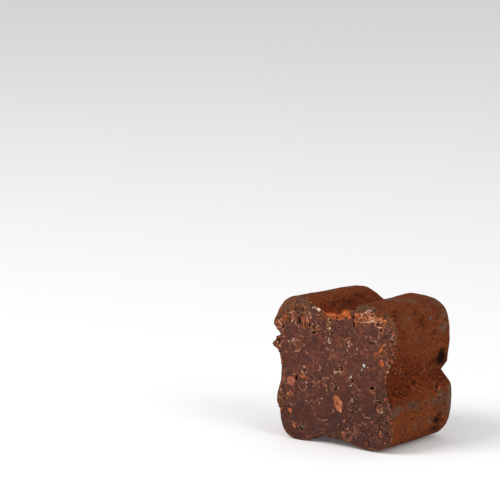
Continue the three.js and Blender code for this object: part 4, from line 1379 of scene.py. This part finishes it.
class Nodes:
    """Short calls that add nodes to a material."""

    def __init__(self, name):
        self.material = bpy.data.materials.new(name)
        self.material.use_nodes = True
        self.tree = self.material.node_tree
        self.shader = self.tree.nodes["Principled BSDF"]
        self.place = self.add("ShaderNodeTexCoord").outputs["Object"]

    def add(self, kind, inputs=(), **settings):
        node = self.tree.nodes.new(kind)
        for name, value in settings.items():
            setattr(node, name, value)
        for socket, value in dict(inputs).items():
            self.feed(node.inputs[socket], value)
        return node

    def feed(self, socket, value):
        if isinstance(value, bpy.types.NodeSocket):
            self.tree.links.new(value, socket)
        else:
            socket.default_value = value

    def share(self, name):
        return self.add("ShaderNodeAttribute", attribute_name=name).outputs["Fac"]

    def noise(self, wave, detail=2.0, rough=0.5, place=None):
        """Noise from 0 to 1 with features about a wave wide, in millimetres."""
        scale = 1 / (wave * MM)
        inputs = {"Vector": place or self.place, "Scale": scale, "Detail": detail, "Roughness": rough}
        return self.add("ShaderNodeTexNoise", inputs).outputs["Fac"]

    def ramp(self, value, low, high):
        inputs = {"Value": value, "From Min": low, "From Max": high}
        return self.add("ShaderNodeMapRange", inputs, interpolation_type="SMOOTHSTEP").outputs["Result"]

    def patches(self, wave, detail, low, high):
        """Soft patches: 0 where the noise is under the low level, and 1 over the high one."""
        return self.ramp(self.noise(wave, detail), low, high)

    def math(self, operation, first, second):
        node = self.add("ShaderNodeMath", operation=operation)
        self.feed(node.inputs[0], first)
        self.feed(node.inputs[1], second)
        return node.outputs["Value"]

    def times(self, first, second):
        return self.math("MULTIPLY", first, second)

    def mix(self, first, second, share):
        """Two colours mixed. Each is a socket or a colour of the picture."""
        node = self.add("ShaderNodeMix", data_type="RGBA")
        for place, value in ((0, share), (6, first), (7, second)):
            self.feed(node.inputs[place], tuple(srgb(value)) if isinstance(value, tuple) else value)
        return node.outputs[2]

    def cover(self, colour, *layers):
        """A colour with others laid over it, each with the share that it has there."""
        for over, share in layers:
            colour = self.mix(colour, over, share)
        return colour

    def finish(self, colour, roughness, specular, height, distance, strength):
        """The material, with a relief whose height from 0 to 1 is a distance in millimetres."""
        relief = {"Height": height, "Distance": distance * MM, "Strength": strength}
        normal = self.add("ShaderNodeBump", relief).outputs["Normal"]
        values = {
            "Base Color": colour, "Roughness": roughness, "Specular IOR Level": specular, "Normal": normal}
        for socket, value in values.items():
            self.feed(self.shader.inputs[socket], value)
        return self.material


def streaks(nodes, wave):
    """Noise drawn out along the powder's streaks."""
    along = []
    for axis, stretch in zip(STREAK_AXES, (3.0, 1.0, 1.0)):
        dot = nodes.add("ShaderNodeVectorMath", operation="DOT_PRODUCT")
        nodes.feed(dot.inputs[0], nodes.place)
        nodes.feed(dot.inputs[1], tuple(axis / stretch))
        along.append(dot.outputs["Value"])
    place = nodes.add("ShaderNodeCombineXYZ", zip(("X", "Y", "Z"), along)).outputs["Vector"]
    return nodes.noise(wave, 3, 0.55, place)


def powder_colour(nodes, hollow=0.3, worn_and_sheen=None):
    """Cocoa powder with fine dark streaks: darker in the hollows, partly painted shade, and grey-brown where
    it is rubbed off and where sheen is painted.
    """
    broad = nodes.patches(2.4, 3, 0.35, 0.65)
    fine = nodes.patches(0.28, 4, 0.38, 0.62)
    grainy = nodes.math("ADD", 0.5, nodes.patches(1.7, 3, 0.38, 0.62))
    streak = nodes.ramp(streaks(nodes, 0.25), 0.46, 0.58)
    # In the hollows the darker powder colour and the extra dark streaks are partly painted shade.
    dark = nodes.times(streak, nodes.math("ADD", 0.38, nodes.times(hollow, 0.38)))
    colour = nodes.cover(
        nodes.mix((94, 42, 19), (106, 52, 26), broad),
        (nodes.mix((82, 28, 8), (92, 36, 13), broad), hollow),
        ((136, 74, 42), nodes.times(nodes.times(fine, grainy), 0.44)),
        ((48, 17, 7), nodes.times(dark, grainy)))
    if worn_and_sheen is None:
        return colour
    # Grey-brown where the powder is rubbed off, and where sheen is painted on the lobe tops and the far right
    # edge.
    rubbed = nodes.mix((86, 62, 48), (102, 82, 68), broad)
    rubbed = nodes.mix(rubbed, (80, 48, 34), nodes.times(fine, 0.5))
    patchy = nodes.times(nodes.math("SUBTRACT", streaks(nodes, 0.5), 0.5), 0.9)
    return nodes.mix(colour, rubbed, nodes.ramp(nodes.math("ADD", worn_and_sheen, patchy), 0.15, 0.95))


def paste_colour(nodes):
    tone, low = nodes.share("tone"), nodes.share("low")
    return nodes.cover(
        nodes.mix((78, 40, 32), (68, 35, 28), nodes.patches(2.6, 3, 0.35, 0.65)),
        ((112, 62, 46), nodes.times(nodes.patches(0.22, 3, 0.35, 0.65), 0.38)),
        ((124, 66, 45), nodes.times(nodes.ramp(nodes.noise(0.75, 4, 0.65), 0.52, 0.62), 0.58)),
        ((66, 35, 31), nodes.times(nodes.patches(0.8, 3, 0.42, 0.58), 0.32)),
        ((114, 54, 38), nodes.times(nodes.ramp(tone, 0.0, 1.0), 0.75)),
        ((64, 42, 40), nodes.times(nodes.ramp(nodes.times(tone, -1.0), 0.0, 1.0), 0.8)),
        ((56, 31, 26), nodes.times(low, 0.55)),
        (nodes.mix((142, 78, 50), (168, 110, 86), nodes.patches(0.55, 2, 0.35, 0.65)), nodes.share("crumb")),
        ((58, 32, 27), nodes.times(low, 0.1)),
        # Painted shade in the gaps, pits, cracks and torn hollows.
        ((30, 17, 10), nodes.share("gap")))


def paste_material():
    nodes = Nodes("cut_paste")
    powdered = nodes.share("powder")
    powder = nodes.cover(
        nodes.mix((112, 66, 42), (84, 60, 44), nodes.patches(1.3, 4, 0.40, 0.60)),
        ((62, 40, 27), nodes.patches(0.4, 4, 0.55, 0.75)),
        ((140, 86, 56), nodes.times(nodes.patches(0.3, 4, 0.55, 0.72), 0.6)))
    lip = nodes.mix((218, 118, 68), (176, 84, 45), nodes.patches(0.5, 3, 0.35, 0.65))
    colour = nodes.cover(paste_colour(nodes), (powder, powdered), (lip, nodes.share("lip")))
    rough = {"Value": powdered, "To Min": 0.5, "To Max": 0.95}
    roughness = nodes.add("ShaderNodeMapRange", rough).outputs["Result"]
    return nodes.finish(colour, roughness, 0.12, nodes.noise(0.18, 4), 0.03, 0.6)


def coat_material():
    nodes = Nodes("cocoa_powder")
    # Bright orange fresh powder, also used for one painted glint.
    fresh = nodes.mix((214, 112, 62), (170, 80, 42), nodes.patches(0.5, 3, 0.38, 0.62))
    # The hollow share paints shade in the hollows, and the worn share paints sheen with the rubbed patches.
    colour = nodes.cover(
        powder_colour(nodes, nodes.share("hollow_powder_and_shade"), nodes.share("worn_and_sheen")),
        # Painted shade in the coat's pits and crease, and its dark scratches.
        ((26, 10, 5), nodes.share("gap")),
        (fresh, nodes.share("lip")))
    grain = nodes.math("ADD", nodes.noise(0.3, 5), nodes.times(streaks(nodes, 0.24), -0.8))
    return nodes.finish(colour, 0.95, 0.04, grain, 0.06, 0.8)


def painted_material(name, wave, dark, roughness, specular):
    """The colour that each lump brings, with darker and lighter mottling and a broken surface."""
    nodes = Nodes(name)
    own = nodes.add("ShaderNodeAttribute", attribute_name="colour").outputs["Color"]
    colour = nodes.cover(
        own,
        (nodes.mix(own, (60, 30, 18), 0.75), nodes.times(nodes.patches(wave, 3, 0.46, 0.60), dark)),
        (nodes.mix(own, (226, 160, 110), 0.45), nodes.times(nodes.patches(wave / 1.7, 3, 0.52, 0.64), dark)))
    return nodes.finish(colour, roughness, specular, nodes.noise(wave / 2, 4), 0.03, 0.8)


def lump_material():
    nodes = Nodes("rim_lumps")
    colour = nodes.cover(
        powder_colour(nodes),
        ((150, 88, 62), nodes.times(nodes.patches(0.35, 3, 0.52, 0.62), 0.8)),
        ((36, 18, 10), nodes.patches(0.4, 2, 0.60, 0.70)))
    return nodes.finish(colour, 0.9, 0.1, nodes.noise(0.3, 5), 0.08, 1.0)


# ---- Scene -------------------------------------------------------------------------------------

FLOOR_SIZE = 6                                 # metres
FLOOR_WHITE = (0.97, 0.97, 0.97, 1)
FLOOR_GLOW = 0.06
SKY_STRENGTH = 0.55
LIGHT_AIM = (0, 0, 0.011)                      # metres, as the places and sizes of the lights
LIGHTS = rows(
    "name place size watts",
    ("key", (-0.25, -0.45, 0.5), 0.35, 2.6),
    ("fill", (0.5, -0.1, 0.3), 0.35, 1.2),
)


def ride(piece, material):
    piece.data.materials.append(material)
    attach(piece, "root")
    return piece


def floor():
    bpy.ops.mesh.primitive_plane_add(size=FLOOR_SIZE, location=(0, 0, 0))
    plane = bpy.context.object
    plane.name = "floor"
    nodes = Nodes("floor")
    values = {
        "Base Color": FLOOR_WHITE, "Roughness": 0.9, "Emission Color": FLOOR_WHITE,
        "Emission Strength": FLOOR_GLOW}
    for socket, value in values.items():
        nodes.feed(nodes.shader.inputs[socket], value)
    plane.data.materials.append(nodes.material)


def area_light(name, place, size, watts):
    data = bpy.data.lights.new(name, "AREA")
    data.energy = watts
    data.size = size
    light = bpy.data.objects.new(name, data)
    light.location = place
    light.rotation_euler = Vector(np.subtract(LIGHT_AIM, place)).to_track_quat("-Z", "Y").to_euler()
    bpy.context.scene.collection.objects.link(light)


def world_light():
    world = bpy.data.worlds.new("studio")
    world.use_nodes = True
    back = world.node_tree.nodes["Background"]
    back.inputs["Color"].default_value = (1, 1, 1, 1)
    back.inputs["Strength"].default_value = SKY_STRENGTH
    bpy.context.scene.world = world


def camera():
    data = bpy.data.cameras.new("camera")
    data.sensor_width = SENSOR
    data.lens = FOCAL_PIXELS * SENSOR / PICTURE
    data.clip_end = 100
    eye = bpy.data.objects.new("camera", data)
    eye.location = CAMERA_PLACE * MM
    eye.rotation_euler = (math.pi / 2 - CAMERA_DIP, 0, CAMERA_TURN)
    bpy.context.scene.collection.objects.link(eye)
    bpy.context.scene.camera = eye


camera()
floor()
world_light()
for light in LIGHTS:
    area_light(**light)
bpy.context.scene.view_settings.view_transform = "Standard"

paste = ride(cut_mesh(), paste_material())
coat = ride(coat_mesh(), coat_material())
for piece in (paste, coat):
    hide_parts("truffle")
ride(nib_mesh(), painted_material("nibs", 0.35, 0.6, 0.6, 0.15))
ground = ground_of((paste, coat))
ride(cut_crumbs(ground), painted_material("crumbs", 0.25, 0.5, 0.75, 0.15))
ride(strand_mesh(ground), painted_material("strands", 0.2, 0.35, 0.6, 0.25))
ride(rim_lumps(), lump_material())
# Pale shards that paint the glints of reflected light, and pale crumbs.
ride(painted_glint_and_pale_crumb_mesh(ground), painted_material("painted_glints_and_pale_crumbs", 0.15, 0.15, 0.3, 0.5))
